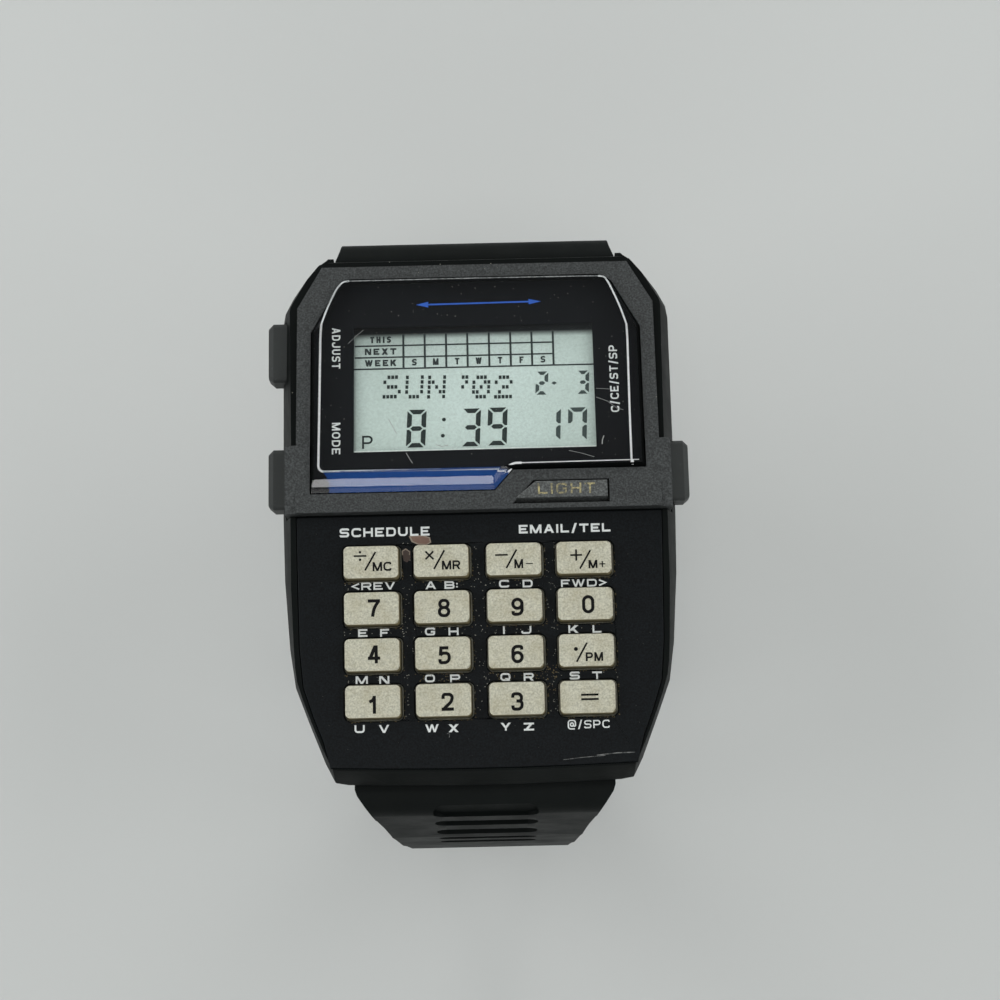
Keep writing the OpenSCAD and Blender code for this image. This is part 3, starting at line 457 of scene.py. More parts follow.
def edges_of(points, width, closed=False):
    """The left and right edges of a line of a given width, mitred at its corners."""
    count = len(points)
    left = []
    right = []
    for i, point in enumerate(points):
        here = Vector(point)
        before = None
        after = None
        if closed or i > 0:
            before = (here - Vector(points[i - 1])).normalized()
        if closed or i < count - 1:
            after = (Vector(points[(i + 1) % count]) - here).normalized()
        if before is None:
            along = after
        elif after is None:
            along = before
        else:
            along = (before + after).normalized()
        side = Vector((-along.y, along.x))
        reach = width / 2
        if before is not None and after is not None:
            reach /= max(0.5, side.dot(Vector((-before.y, before.x))))
        left.append(here + side * reach)
        right.append(here - side * reach)
    return left, right


# How far a corner's curve handles reach, as for a quarter circle, and into how many steps it is cut
ROUND = 0.5523
CORNER_STEPS = 6
# Millimetres below which two points of a line are one
NO_LENGTH = 1e-4


def soft_corners(points, radius, closed=False):
    """The points of a line whose corners are rounded, but for those that have a third value."""
    out = []
    count = len(points)
    for i, point in enumerate(points):
        here = Vector(point[:2])
        if len(point) > 2 or (not closed and i in (0, count - 1)):
            out.append(tuple(here))
            continue
        back = Vector(points[i - 1][:2]) - here
        ahead = Vector(points[(i + 1) % count][:2]) - here
        reach = min(radius, back.length / 2, ahead.length / 2)
        a = here + back.normalized() * reach
        d = here + ahead.normalized() * reach
        b = a.lerp(here, ROUND)
        c = d.lerp(here, ROUND)
        for k in range(CORNER_STEPS + 1):
            s = k / CORNER_STEPS
            curve = a * (1 - s) ** 3 + b * 3 * s * (1 - s) ** 2 + c * 3 * s * s * (1 - s) + d * s ** 3
            if not out or (curve - Vector(out[-1])).length > NO_LENGTH:
                out.append(tuple(curve))
    if closed and (Vector(out[0]) - Vector(out[-1])).length < NO_LENGTH:
        out.pop()
    return out


# The strokes of the printed signs, in a box one unit wide and high. A soft line has round corners, except at
# points with a third value, a ring is a closed soft line, and a slope is a slanted bar with level ends.
SIGNS = {
    "A": [("slope", (0, 0), (0.5, 1)), ("slope", (1, 0), (0.5, 1)), ("soft", (0.2, 0.27), (0.8, 0.27))],
    "B": [("ring", (0, 0.5, 0), (0, 1, 0), (0.96, 1), (0.96, 0.5)),
          ("ring", (0, 0, 0), (0, 0.5, 0), (1, 0.5), (1, 0))],
    "C": [("soft", (1, 0.77), (1, 1), (0, 1), (0, 0), (1, 0), (1, 0.23))],
    "D": [("ring", (0, 0, 0), (0, 1, 0), (1, 1), (1, 0))],
    "E": [("soft", (1, 1), (0, 1, 0), (0, 0, 0), (1, 0)), ("soft", (0, 0.5), (0.92, 0.5))],
    "F": [("soft", (1, 1), (0, 1, 0), (0, 0)), ("soft", (0, 0.48), (0.9, 0.48))],
    "G": [("soft", (1, 0.76), (1, 1), (0, 1), (0, 0), (1, 0), (1, 0.45, 0), (0.6, 0.45))],
    "H": [("soft", (0, 0), (0, 1)), ("soft", (1, 0), (1, 1)), ("soft", (0, 0.5), (1, 0.5))],
    "I": [("soft", (0.5, 0), (0.5, 1))],
    "J": [("soft", (1, 1), (1, 0), (0, 0), (0, 0.36))],
    "K": [("soft", (0, 0), (0, 1)), ("slope", (0.04, 0.3), (1, 1)), ("slope", (1, 0), (0.36, 0.62))],
    "L": [("soft", (0, 1), (0, 0, 0), (1, 0))],
    "M": [("soft", (0, 0), (0, 1)), ("soft", (1, 0), (1, 1)), ("slope", (0.5, 0), (0, 1)),
          ("slope", (0.5, 0), (1, 1))],
    "N": [("soft", (0, 0), (0, 1)), ("soft", (1, 0), (1, 1)), ("slope", (1, 0), (0, 1))],
    "O": [("ring", (0, 0), (0, 1), (1, 1), (1, 0))],
    "P": [("ring", (0, 0.42, 0), (0, 1, 0), (1, 1), (1, 0.42)), ("soft", (0, 0), (0, 0.45))],
    "Q": [("ring", (0, 0), (0, 1), (1, 1), (1, 0)), ("slope", (1, 0), (0.62, 0.36))],
    "R": [("ring", (0, 0.44, 0), (0, 1, 0), (1, 1), (1, 0.44)), ("soft", (0, 0), (0, 0.45)),
          ("slope", (1, 0), (0.6, 0.5))],
    "S": [("soft", (1, 0.82), (1, 1), (0, 1), (0, 0.5), (1, 0.5), (1, 0), (0, 0), (0, 0.18))],
    "T": [("soft", (0, 1), (1, 1)), ("soft", (0.5, 0), (0.5, 1))],
    "U": [("soft", (0, 1), (0, 0), (1, 0), (1, 1))],
    "V": [("slope", (0.5, 0), (0, 1)), ("slope", (0.5, 0), (1, 1))],
    "W": [("slope", (0.27, 0), (0, 1)), ("slope", (0.27, 0), (0.5, 1)), ("slope", (0.73, 0), (0.5, 1)),
          ("slope", (0.73, 0), (1, 1))],
    "X": [("slope", (0, 0), (1, 1)), ("slope", (1, 0), (0, 1))],
    "Y": [("slope", (0.5, 0.36), (0, 1)), ("slope", (0.5, 0.36), (1, 1)), ("soft", (0.5, 0), (0.5, 0.45))],
    "Z": [("soft", (0, 1), (1, 1)), ("soft", (0, 0), (1, 0)), ("slope", (0, 0), (1, 1))],
    "0": [("ring", (0, 0), (0, 1), (1, 1), (1, 0))],
    "1": [("soft", (0.8, 0), (0.8, 1)), ("soft", (0, 0.74), (0.45, 0.8), (0.75, 0.98))],
    "2": [("soft", (0, 0.7), (0, 1), (1, 1), (1, 0.55), (0.1, 0.05)), ("soft", (0, 0), (1, 0))],
    "3": [("soft", (0, 0.75), (0, 1), (0.95, 1), (0.95, 0.53), (0.38, 0.53)),
          ("soft", (0.38, 0.53), (1, 0.53), (1, 0), (0, 0), (0, 0.25))],
    "4": [("soft", (0.74, 0), (0.74, 1)), ("slope", (0.0, 0.22), (0.68, 1)), ("soft", (0, 0.24), (1, 0.24))],
    "5": [("soft", (0.93, 1), (0.12, 1, 0), (0.05, 0.48)),
          ("soft", (0.05, 0.5), (0.25, 0.64), (1, 0.64), (1, 0), (0, 0), (0, 0.24))],
    "6": [("soft", (0.98, 0.78), (0.98, 1), (0, 1), (0, 0.3)), ("ring", (0, 0), (0, 0.6), (1, 0.6), (1, 0))],
    "7": [("soft", (0, 1), (1, 1)), ("soft", (0.98, 0.95), (0.5, 0.5), (0.36, 0))],
    "8": [("ring", (0.06, 0.53), (0.06, 1), (0.94, 1), (0.94, 0.53)),
          ("ring", (0, 0), (0, 0.53), (1, 0.53), (1, 0))],
    "9": [("ring", (0, 0.4), (0, 1), (1, 1), (1, 0.4)), ("soft", (1, 0.7), (1, 0), (0.02, 0), (0.02, 0.22))],
    "/": [("slope", (0, -0.08), (1, 1.08))],
    "<": [("soft", (1, 0.92), (0, 0.5, 0), (1, 0.08))],
    ">": [("soft", (0, 0.92), (1, 0.5, 0), (0, 0.08))],
    "@": [("ring", (0.3, 0.26), (0.3, 0.74), (0.72, 0.74), (0.72, 0.26)),
          ("soft", (0.72, 0.26), (1, 0.26), (1, 1.12), (0, 1.12), (0, -0.14), (0.9, -0.14))],
    ":": [("dot", (0.5, 0.16)), ("dot", (0.5, 0.74))],
}
# Widths of the signs that aren't one unit wide, where 0 is a single stroke
WIDTHS = {
    "M": 1.2, "W": 1.32, "I": 0, ":": 0, "E": 0.92, "F": 0.88, "L": 0.88, "/": 0.6, "<": 0.75, ">": 0.75,
    "1": 0.7, "@": 1.15, "A": 1.06, "V": 1.02, "T": 0.96,
}


class Print:
    """Thin ink on a flat place: bars, lines and signs, in millimetres in the place's own frame."""

    def __init__(self, place, low, thick=0.012):
        self.bm = bmesh.new()
        self.place = place
        self.low = low
        self.high = low + thick
        self.layer = 0

    def point(self, x, y, z):
        return self.bm.verts.new(row_point(self.place, x, y, z))

    def top(self):
        """The next stroke's height, a hair off the last one's, so that no two lie in one plane."""
        self.layer = (self.layer + 1) % 4
        return self.high + 0.001 * self.layer

    def shape(self, points):
        """A flat plate with the given outline."""
        top = self.top()
        low = [self.point(x, y, self.low) for x, y in points]
        high = [self.point(x, y, top) for x, y in points]
        self.bm.faces.new(list(reversed(low)))
        self.bm.faces.new(high)
        for i in range(len(points)):
            j = (i + 1) % len(points)
            self.bm.faces.new((low[i], low[j], high[j], high[i]))

    def bar(self, x0, y0, x1, y1):
        self.shape([(x0, y0), (x1, y0), (x1, y1), (x0, y1)])

    def line(self, points, width, closed=False):
        """A bar of one width along some points."""
        left, right = edges_of(points, width, closed)
        top = self.top()
        rows = []
        for side, z in ((right, self.low), (right, top), (left, top), (left, self.low)):
            rows.append([self.point(p.x, p.y, z) for p in side])
        count = len(points)
        for i in range(count if closed else count - 1):
            j = (i + 1) % count
            for k in range(4):
                a = rows[k]
                b = rows[(k + 1) % 4]
                self.bm.faces.new((a[i], a[j], b[j], b[i]))
        if not closed:
            self.bm.faces.new([row[0] for row in rows])
            self.bm.faces.new([row[-1] for row in reversed(rows)])

    def disc(self, x, y, radius, sides=14):
        turns = [2 * math.pi * i / sides for i in range(sides)]
        self.shape([(x + radius * math.cos(a), y + radius * math.sin(a)) for a in turns])

    def sign(self, sign, x, y, wide, high, thick, radius, seat):
        """One sign with its lower left corner at x, y. The seat puts a point of the words in its place."""
        half = thick / 2

        def at(u, v):
            return x + half + u * (wide - thick), y + half + v * (high - thick)

        for kind, *points in SIGNS[sign]:
            if kind == "slope":
                (u0, v0), (u1, v1) = points
                rise = (v1 - v0) * high
                level = half * math.hypot(1, (u1 - u0) * wide / rise)
                a = x + level + u0 * (wide - 2 * level)
                b = x + level + u1 * (wide - 2 * level)
                low = y + v0 * high
                top = y + v1 * high
                corners = ((a - level, low), (a + level, low), (b + level, top), (b - level, top))
                self.shape([seat(*p) for p in corners])
            elif kind == "dot":
                u, v = points[0]
                self.disc(*seat(*at(u, v)), thick * 0.55)
            else:
                closed = kind == "ring"
                flat = [at(*p[:2]) + tuple(p[2:]) for p in points]
                flat = soft_corners(flat, radius, closed)
                if not closed:
                    flat = self.stretched(flat, half, (x, y, wide, high))
                self.line([seat(*p) for p in flat], thick, closed)

    def stretched(self, flat, half, box):
        """A line whose ends reach half a stroke further where they run to the edge of the sign's box."""
        x, y, wide, high = box
        out = [Vector(p) for p in flat]
        for end, beside in ((0, 1), (-1, -2)):
            along = (out[end] - out[beside]).normalized()
            if abs(along.y) > abs(along.x):
                to_edge = min(abs(out[end].y - half - y), abs(out[end].y + half - y - high))
            else:
                to_edge = min(abs(out[end].x - half - x), abs(out[end].x + half - x - wide))
            if to_edge < NO_LENGTH:
                out[end] = out[end] + along * half
        return [tuple(p) for p in out]

    def words(self, words, x, y, high, thick, span=None, wide=None, turn=0.0, gap=None, radius=None):
        """A line of signs centred on x, y, as long as the span or with signs of the given width."""
        if gap is None:
            gap = thick * 0.9 + 0.05
        factors = [WIDTHS.get(sign, 1.0) for sign in words]
        fixed = gap * (len(words) - 1) + thick * factors.count(0)
        if wide is None:
            wide = (span - fixed) / sum(factors)
        widths = [factor * wide if factor else thick for factor in factors]
        left = -(sum(widths) + gap * (len(words) - 1)) / 2
        spin = math.radians(turn)

        def seat(u, v):
            return x + u * math.cos(spin) - v * math.sin(spin), y + u * math.sin(spin) + v * math.cos(spin)

        for sign, width in zip(words, widths):
            self.sign(sign, left, -high / 2, width, high, thick, radius or high * 0.3, seat)
            left += width + gap

    def done(self, name, material, body="case", slot="crystal_clear"):
        """Turns the ink into a piece."""
        bmesh.ops.recalc_face_normals(self.bm, faces=self.bm.faces)
        return add(name, made(name, self.bm), material, body)


def cut_in(points, distances):
    """An outline whose edges, each from a point to the next, move in by their own distances."""
    count = len(points)
    lines = []
    for i in range(count):
        a = Vector(points[i])
        b = Vector(points[(i + 1) % count])
        along = (b - a).normalized()
        inward = Vector((-along.y, along.x))
        lines.append((a + inward * distances[i], along))
    out = []
    for i in range(count):
        p, u = lines[i - 1]
        q, v = lines[i]
        cross = u.x * v.y - u.y * v.x
        t = ((q.x - p.x) * v.y - (q.y - p.y) * v.x) / cross
        out.append((p.x + u.x * t, p.y + u.y * t))
    return out


# Case and strap


dressed("case_body", CASE, "case", 0.22, 3, 28)
dressed("bezel_frame", BEZEL, "case", 0.12, 3)
dressed("keypad_panel", PANEL, "case", 0.1, 2)
for half in ("strap_upper", "strap_lower"):
    dressed(half, STRAP, half, 0.35, 3, 30)
for keeper, carrier in (("keeper_fixed", "strap_upper"), ("keeper_sliding", "keeper_sliding")):
    dressed(keeper, STRAP, carrier, 0.25, 3)


# Light button, pushers and keys


BUTTON_MIDDLE = (8, 1)
BUTTON_FRONT_DRAW = 0.45
BUTTON_BACK_DRAW = 0.08
BUTTON_LEFT_DRAW = 0.14
BUTTON_RIGHT_DRAW = 0.1


def sloped_front(point):
    """Draws in the edges of the light button's face, the front one most, so that its front slopes."""
    x, y = BUTTON_MIDDLE
    out = point.copy()
    if out.z > (LIGHT_TOP - 0.05) * MM:
        out.y += BUTTON_FRONT_DRAW * MM if out.y < y * MM else -BUTTON_BACK_DRAW * MM
        out.x += -BUTTON_RIGHT_DRAW * MM if out.x > x * MM else BUTTON_LEFT_DRAW * MM
    return out


dressed("light_button", BUTTON, "light_button", 0.1, 3, shape=sloped_front)
for pusher in ("adjust", "mode", "clear"):
    dressed("pusher_" + pusher, PUSHER, "pusher_" + pusher, 0.14, 3)


KEY_FRONT_DRAW = 0.17
KEY_RIGHT_DRAW = 0.13


def worn_key(x, y):
    """Draws in the face of the key at x, y at its low and right edges, which slope more than the others."""

    def shape(point):
        out = KEYPAD.inverted() @ point
        if out.z > (KEY_TOP - 0.05) * MM:
            if out.y < (y - 1.2) * MM:
                out.y += KEY_FRONT_DRAW * MM
            if out.x > (x + 2.2) * MM:
                out.x -= KEY_RIGHT_DRAW * MM
        return KEYPAD @ out

    return shape


for key, (x, y) in KEY_PLACES.items():
    # The keys' sides and edges take the darker edge material, which is painted shade with dirt
    dressed(key, KEY, key, 0.2, 3, shape=worn_key(x, y), edge=KEY_EDGE_SHADE_AND_DIRT)


# Buckle, case back and return springs


for part in ("buckle_frame", "buckle_tongue"):
    dressed(part, STEEL, part, 0.2, 2)
dressed("case_back", STEEL, "case", 0.1, 2)


def return_spring(node):
    """A return spring: a copy of its CAD node in bright steel on the case, with a mesh of its own."""
    piece = dressed(node, BRIGHT, "case", 0.0)
    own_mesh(piece)


return_spring("light_spring")
for pusher, fixed_high in (("adjust", True), ("mode", True), ("clear", False)):
    return_spring("pusher_spring_" + pusher)


# Crystal, its printed mask and its marks


def crystal_outline(gap):
    """The crystal's outline in the display's plane, moved in by a gap all round."""
    half = 16.1
    low = 1.83 - BAR_LENGTH
    high = CASE_END - 8.8
    step = low + 2.01
    points = [
        (-half, low), (1.6, low), (3.35, step), (half, step), (half, high - 5.6), (half - 2.65, high - 0.7),
        (half - 3.75, high), (3.75 - half, high), (2.65 - half, high - 0.7), (-half, high - 5.6),
    ]
    return cut_in(points, [gap] * len(points))


def crystal_piece():
    """The moulded crystal. Its facets are clear along the blue band, and its other sides are black."""
    outer = crystal_outline(0.08)
    facets = [1.3, 0.9, 0.25, 0.3, 0.24, 0.2, 0.16, 0.14, 0.12, 0.3]
    middle = cut_in(outer, [0.35 * facet for facet in facets])
    face = cut_in(outer, facets)
    levels = [(outer, -1.49), (outer, -0.05), (middle, 0.25), (face, CRYSTAL_Z)]
    clear_sides = 2
    flat = math.radians(12)
    bm = bmesh.new()
    rows = []
    for points, z in levels:
        rows.append([bm.verts.new(row_point(DISPLAY, x, y, z)) for x, y in points])
    bm.faces.new(list(reversed(rows[0])))
    bm.faces.new(rows[-1])
    for low, high in zip(rows, rows[1:]):
        for i in range(len(low)):
            j = (i + 1) % len(low)
            bm.faces.new((low[i], low[j], high[j], high[i]))
    bmesh.ops.recalc_face_normals(bm, faces=bm.faces)
    bm.faces.index_update()
    weights = bm.edges.layers.float.new("bevel_weight_edge")
    bm.faces.ensure_lookup_table()
    black = [side for side in bm.faces[2:] if (side.index - 2) % len(outer) >= clear_sides]
    for edge in bm.edges:
        clear = not any(side in black for side in edge.link_faces)
        edge[weights] = 1.0 if clear and edge.calc_face_angle() > flat else 0.0
    black = [side.index for side in black]
    mesh = made("crystal_look", bm)
    smooth(mesh, 12)
    piece = add("crystal_look", mesh, CRYSTAL, "case")
    mesh.materials.append(CRYSTAL_EDGE)
    for index in black:
        mesh.polygons[index].material_index = 1
    softener = piece.modifiers.new("edges", "BEVEL")
    softener.width = 0.09 * MM
    softener.segments = 3
    softener.limit_method = "WEIGHT"
    softener.harden_normals = True
    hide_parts("crystal")


def ring_mask():
    """The printed mask, with the display's window left open, and the crystal's dark side."""
    window = [(-11.95, -0.5), (11.46, -0.44), (11.46, 12.3), (-11.92, 12.3)]
    thick = 0.03
    # The first ten points are the outline's and the last four the window's. One plate lies on each side
    points = crystal_outline(0.3) + window
    sides = ((0, 1, 2, 3, 11, 10), (3, 4, 5, 12, 11), (5, 6, 7, 8, 13, 12), (8, 9, 0, 10, 13))
    rims = ([0, 1, 2, 3, 4, 5, 6, 7, 8, 9], [13, 12, 11, 10])
    bm = bmesh.new()
    upper, lower = [[bm.verts.new(row_point(DISPLAY, x, y, z)) for x, y in points]
                    for z in (MASK_Z, MASK_Z - thick)]
    for corners in sides:
        bm.faces.new([upper[k] for k in corners])
        bm.faces.new([lower[k] for k in reversed(corners)])
    for rim in rims:
        for a, b in zip(rim, rim[1:] + rim[:1]):
            bm.faces.new((upper[a], lower[a], lower[b], upper[b]))
    add("crystal_mask", made("crystal_mask", bm), MASK, "case")
    side = Print(DISPLAY, MASK_Z + 0.005, 1.25)
    side.line(crystal_outline(0.17), 0.04, True)
    side.done("crystal_side", MASK)


crystal_piece()
ring_mask()


def printed_lines(name, material, z, lines, thick=0.01):
    """Lines of one ink in the crystal, each given by its points and its width."""
    ink = Print(DISPLAY, z, thick)
    for points, width in lines:
        ink.line(points, width)
    ink.done(name, material)


def frame_line():
    """The pale line round the display: its two sides, and its far corners and far side with painted
    highlight.
    """
    side = soft_corners([
        (-15.13, 12.88), (-15.22, 11.71), (-15.28, 5.07), (-15.36, -2.4), (2.7, -2.47), (3.3, -1.95),
        (4.2, -1.94),
    ], 0.6)
    printed_lines("printed_line", LINE_INK, PRINT_Z, [
        (side, 0.22),
        ([(4.0, -1.94), (15.5, -1.87)], 0.1),
        ([(14.84, 12.15), (14.88, 10.6), (14.8, 3.5), (14.77, -2.6)], 0.2),
    ])
    tick = Print(DISPLAY, 0.3, 0.01)
    tick.bar(14.68, -2.68, 14.9, -2.2)
    tick.done("printed_line_end", LINE_INK)
    left = [(-15.0, 12.39), (-14.37, 14.22), (-13.5, 16.1), (-12.9, 16.75), (-12.3, 16.81)]
    right = [(14.75, 11.66), (14.2, 13.53), (13.25, 15.9), (12.8, 16.7), (12.2, 16.77)]
    far_side = [(-12.5, 16.8), (0, 16.83), (12.4, 16.78)]
    # The far corners and far side lie just under the crystal's face, as a painted highlight of its bevelled
    # edge
    far_z = CRYSTAL_Z - 0.08
    corners = [(soft_corners(corner, 0.8), 0.17) for corner in (left, right)]
    printed_lines("printed_line_corners", CORNER_LINE_AND_HIGHLIGHT, far_z, corners)
    printed_lines("printed_line_far_highlight", FAR_EDGE_HIGHLIGHT, far_z, [(far_side, 0.11)])


def window_edge_highlight():
    """A painted highlight: the lit edge of the mask at the low side of the window, as a pale line."""
    printed_lines("window_edge_highlight", WINDOW_EDGE_HIGHLIGHT, MASK_Z - 0.02, [([(-11.9, -0.46), (11.42, -0.4)], 0.1)], 0.03)


def blue_print():
    """The blue band at the low left side, and the arrow over the display."""
    band = Print(DISPLAY, PRINT_Z, 0.01)
    band.shape([(-14.3, -4.6), (1.62, -4.6), (3.2, -2.75), (2.68, -2.3), (-15.0, -2.3), (-14.3, -3.3)])
    band.done("blue_band", BLUE_INK)
    arrow = Print(DISPLAY, PRINT_Z, 0.01)
    arrow.shape([(-5.8, 14.62), (-4.6, 14.32), (-4.6, 14.92)])
    arrow.shape([(6.5, 14.7), (5.3, 14.98), (5.3, 14.42)])
    arrow.line([(-4.65, 14.62), (5.35, 14.7)], 0.16)
    arrow.done("blue_arrow", BLUE_MARK)


def pusher_labels():
    """The name of each pusher, printed beside it and read from its side."""
    for name, words, x, y, turn, span in (
            ("label_adjust", "ADJUST", -13.67, 10.24, -90, 4.25),
            ("label_mode", "MODE", -13.65, 0.93, -90, 3.2),
            ("label_clear", "C/CE/ST/SP", 13.4, 6.45, 90, 6.9)):
        label = Print(DISPLAY, PRINT_Z, 0.01)
        label.words(words, x, y, 0.82, 0.145, span=span, turn=turn, gap=0.18, radius=0.26)
        label.done(name, WHITE_INK)


frame_line()
window_edge_highlight()
blue_print()
pusher_labels()


# Display


dressed("lcd_panel", DISPLAY_GLASS, "case", 0.0)
INK_Z = GLASS_Z + 0.012
# The printed lines between the days, and the lines below each row
GRID_X = [-7.12, -5.02, -2.92, -0.82, 1.3, 3.41, 5.5, 7.6]
GRID_Y = [10.66, 9.45, 8.25]


class Growth:
    """A Geometry Nodes tree with named inputs, and short calls for the nodes that are used here."""

    def __init__(self, name):
        self.group = bpy.data.node_groups.new(name, "GeometryNodeTree")
        self.group.interface.new_socket("Geometry", in_out="INPUT", socket_type="NodeSocketGeometry")
        self.group.interface.new_socket("Geometry", in_out="OUTPUT", socket_type="NodeSocketGeometry")
        self.start = self.node("NodeGroupInput")
        self.end = self.node("NodeGroupOutput")

    def node(self, kind, **settings):
        """A new node, with its own settings."""
        node = self.group.nodes.new(kind)
        for name, value in settings.items():
            setattr(node, name, value)
        return node

    def ask(self, name, kind="Float"):
        """A named input of the tree."""
        self.group.interface.new_socket(name, in_out="INPUT", socket_type="NodeSocket" + kind)
        return self.start.outputs[name]

    def join(self, a, b):
        self.group.links.new(a, b)

    def finish(self, instances):
        """Ends the tree in real faces with their material."""
        real = self.node("GeometryNodeRealizeInstances")
        dress = self.node("GeometryNodeSetMaterial")
        self.join(instances, real.inputs["Geometry"])
        self.join(real.outputs["Geometry"], dress.inputs["Geometry"])
        self.join(self.ask("Material", "Material"), dress.inputs["Material"])
        self.join(dress.outputs["Geometry"], self.end.inputs["Geometry"])


def plates_on_points():
    """A small upright plate on each point, for the display's dots and the lines between its days."""
    tree = Growth("plates on points")
    plate = tree.node("GeometryNodeMeshCube")
    place = tree.node("GeometryNodeInstanceOnPoints")
    tree.join(tree.start.outputs["Geometry"], place.inputs["Points"])
    tree.join(plate.outputs["Mesh"], place.inputs["Instance"])
    tree.join(tree.ask("Plate size", "Vector"), plate.inputs["Size"])
    tree.join(tree.ask("Tilt", "Rotation"), place.inputs["Rotation"])
    tree.finish(place.outputs["Instances"])
    return tree


SIZE_SEED = 5
TURN_SEED = 9
# A fleck's largest tilts and its turn about the upright, in radians
MOST_TURN = (0.15, 0.15, 6.283)


def flecks_on_faces():
    """Flat flecks strewn over faces, for the dust, the dirt between the keys and the painted shade beside
    them.
    """
    tree = Growth("flecks on faces")
    strew = tree.node("GeometryNodeDistributePointsOnFaces")
    fleck = tree.node("GeometryNodeMeshIcoSphere")
    place = tree.node("GeometryNodeInstanceOnPoints")
    size = tree.node("FunctionNodeRandomValue", data_type="FLOAT_VECTOR")
    turn = tree.node("FunctionNodeRandomValue", data_type="FLOAT_VECTOR")
    tree.join(tree.start.outputs["Geometry"], strew.inputs["Mesh"])
    tree.join(tree.ask("Density"), strew.inputs["Density"])
    tree.join(tree.ask("Seed", "Int"), strew.inputs["Seed"])
    tree.join(strew.outputs["Points"], place.inputs["Points"])
    fleck.inputs["Subdivisions"].default_value = 1
    tree.join(tree.ask("Radius"), fleck.inputs["Radius"])
    tree.join(fleck.outputs["Mesh"], place.inputs["Instance"])
    tree.join(tree.ask("Smallest", "Vector"), size.inputs[0])
    tree.join(tree.ask("Largest", "Vector"), size.inputs[1])
    size.inputs["Seed"].default_value = SIZE_SEED
    tree.join(size.outputs[0], place.inputs["Scale"])
    turn.inputs[0].default_value = (0, 0, 0)
    turn.inputs[1].default_value = MOST_TURN
    turn.inputs["Seed"].default_value = TURN_SEED
    tree.join(turn.outputs[0], place.inputs["Rotation"])
    tree.finish(place.outputs["Instances"])
    return tree


def grown(name, base, tree, settings, body):
    """The plain mesh that a tree grows on a base mesh, as one piece on one body."""
    holder = bpy.data.objects.new(name + "_base", base)
    bpy.context.scene.collection.objects.link(holder)
    growth = holder.modifiers.new("growth", "NODES")
    growth.node_group = tree.group
    for item in tree.group.interface.items_tree:
        if item.in_out == "INPUT" and item.name in settings:
            growth[item.identifier] = settings[item.name]
    graph = bpy.context.evaluated_depsgraph_get()
    mesh = bpy.data.meshes.new_from_object(holder.evaluated_get(graph))
    mesh.name = name
    holder.modifiers.clear()
    bpy.data.objects.remove(holder)
    return add(name, mesh, settings["Material"], body)


def bare_points(points, place, z):
    """A mesh of points alone, for a tree to grow on."""
    mesh = bpy.data.meshes.new("points")
    mesh.from_pydata([row_point(place, x, y, z) for x, y in points], [], [])
    return mesh


PLATES = plates_on_points()
FLECKS = flecks_on_faces()


def display_plates(name, points, wide, high, thick, material):
    """Plates of one size on the display glass, with their middles at the points."""
    size = (wide * MM, high * MM, thick * MM)
    settings = {"Plate size": size, "Tilt": DISPLAY.to_euler(), "Material": material}
    grown(name, bare_points(points, DISPLAY, INK_Z + thick / 2), PLATES, settings, "case")


display_plates("display_grid_uprights", [(x, 10.0) for x in GRID_X], 0.2, 3.6, 0.012, GRID_INK)
display_plates("display_grid_levels", [(-2.1, y) for y in GRID_Y[:2]], 19.6, 0.15, 0.014, GRID_INK)
display_plates("display_grid_base", [(-0.2, GRID_Y[2])], 23.6, 0.15, 0.013, GRID_INK)

words = Print(DISPLAY, INK_Z)
for text, y, span in (("THIS", 11.3, 2.05), ("NEXT", 10.06, 3.1), ("WEEK", 8.86, 3.1)):
    words.words(text, -9.36, y, 0.66, 0.17, span=span, gap=0.22, radius=0.16)
for i, day in enumerate("SMTWTFS"):
    words.words(day, -6.06 + 2.105 * i, 8.88, 0.68, 0.16, wide=0.46, radius=0.16)
words.done("display_words", GRID_INK, "case", "display_glass")


def seven_segments(ink, lit, x, y, wide, high, t, lean=0.05):
    """The lit bars, of thickness t, of a seven-segment digit whose lower left corner is at x, y."""
    s = 0.11
    tip = 0.03
    middle = high / 2

    def draw(points):
        ink.shape([(x + px + py * lean, y + py) for px, py in points])

    for letter in lit:
        if letter in "ad":
            edge, inner = (high, high - t) if letter == "a" else (0, t)
            draw([(s + tip, edge), (wide - s - tip, edge), (wide - t - s, inner), (t + s, inner)])
        elif letter == "g":
            draw([(t * 0.5 + s, middle), (t + s, middle - t / 2), (wide - t - s, middle - t / 2),
                  (wide - t * 0.5 - s, middle), (wide - t - s, middle + t / 2), (t + s, middle + t / 2)])
        else:
            up = 1 if letter in "bf" else -1
            out, inner = (wide, wide - t) if letter in "bc" else (0, t)
            core = (out + inner) / 2
            draw([(out, middle + up * s), (core, middle + up * s), (inner, middle + up * (t / 2 + s)),
                  (inner, middle + up * (middle - t - s)), (out, middle + up * (middle - s - tip))])


time_ink = Print(DISPLAY, INK_Z)
for lit, x, y, wide in (
        ("abcdefg", -6.95, 0.07, 1.86), ("abgcd", -1.64, 0.07, 1.84), ("abcdfg", 0.9, 0.11, 1.9)):
    seven_segments(time_ink, lit, x, y, wide, 3.86, 0.46)
for x, y in ((-3.23, 2.86), (-3.36, 1.21)):
    time_ink.disc(x, y, 0.19)
time_ink.words("P", -10.68, 0.72, 1.33, 0.19, wide=1.03)
time_ink.done("display_time", SEGMENT, "case", "display_glass")
day_ink = Print(DISPLAY, INK_Z)
for lit, x, y in (("bc", 6.17, 0.4), ("abcf", 8.72, 0.38)):
    seven_segments(day_ink, lit, x, y, 1.84, 3.42, 0.44)
for lit, x in (("abged", 5.72), ("abgcd", 9.72)):
    seven_segments(day_ink, lit, x, 5.2, 1.22, 2.4, 0.36)
day_ink.shape([(7.3, 6.38), (7.58, 6.2), (7.87, 6.38), (7.58, 6.56)])
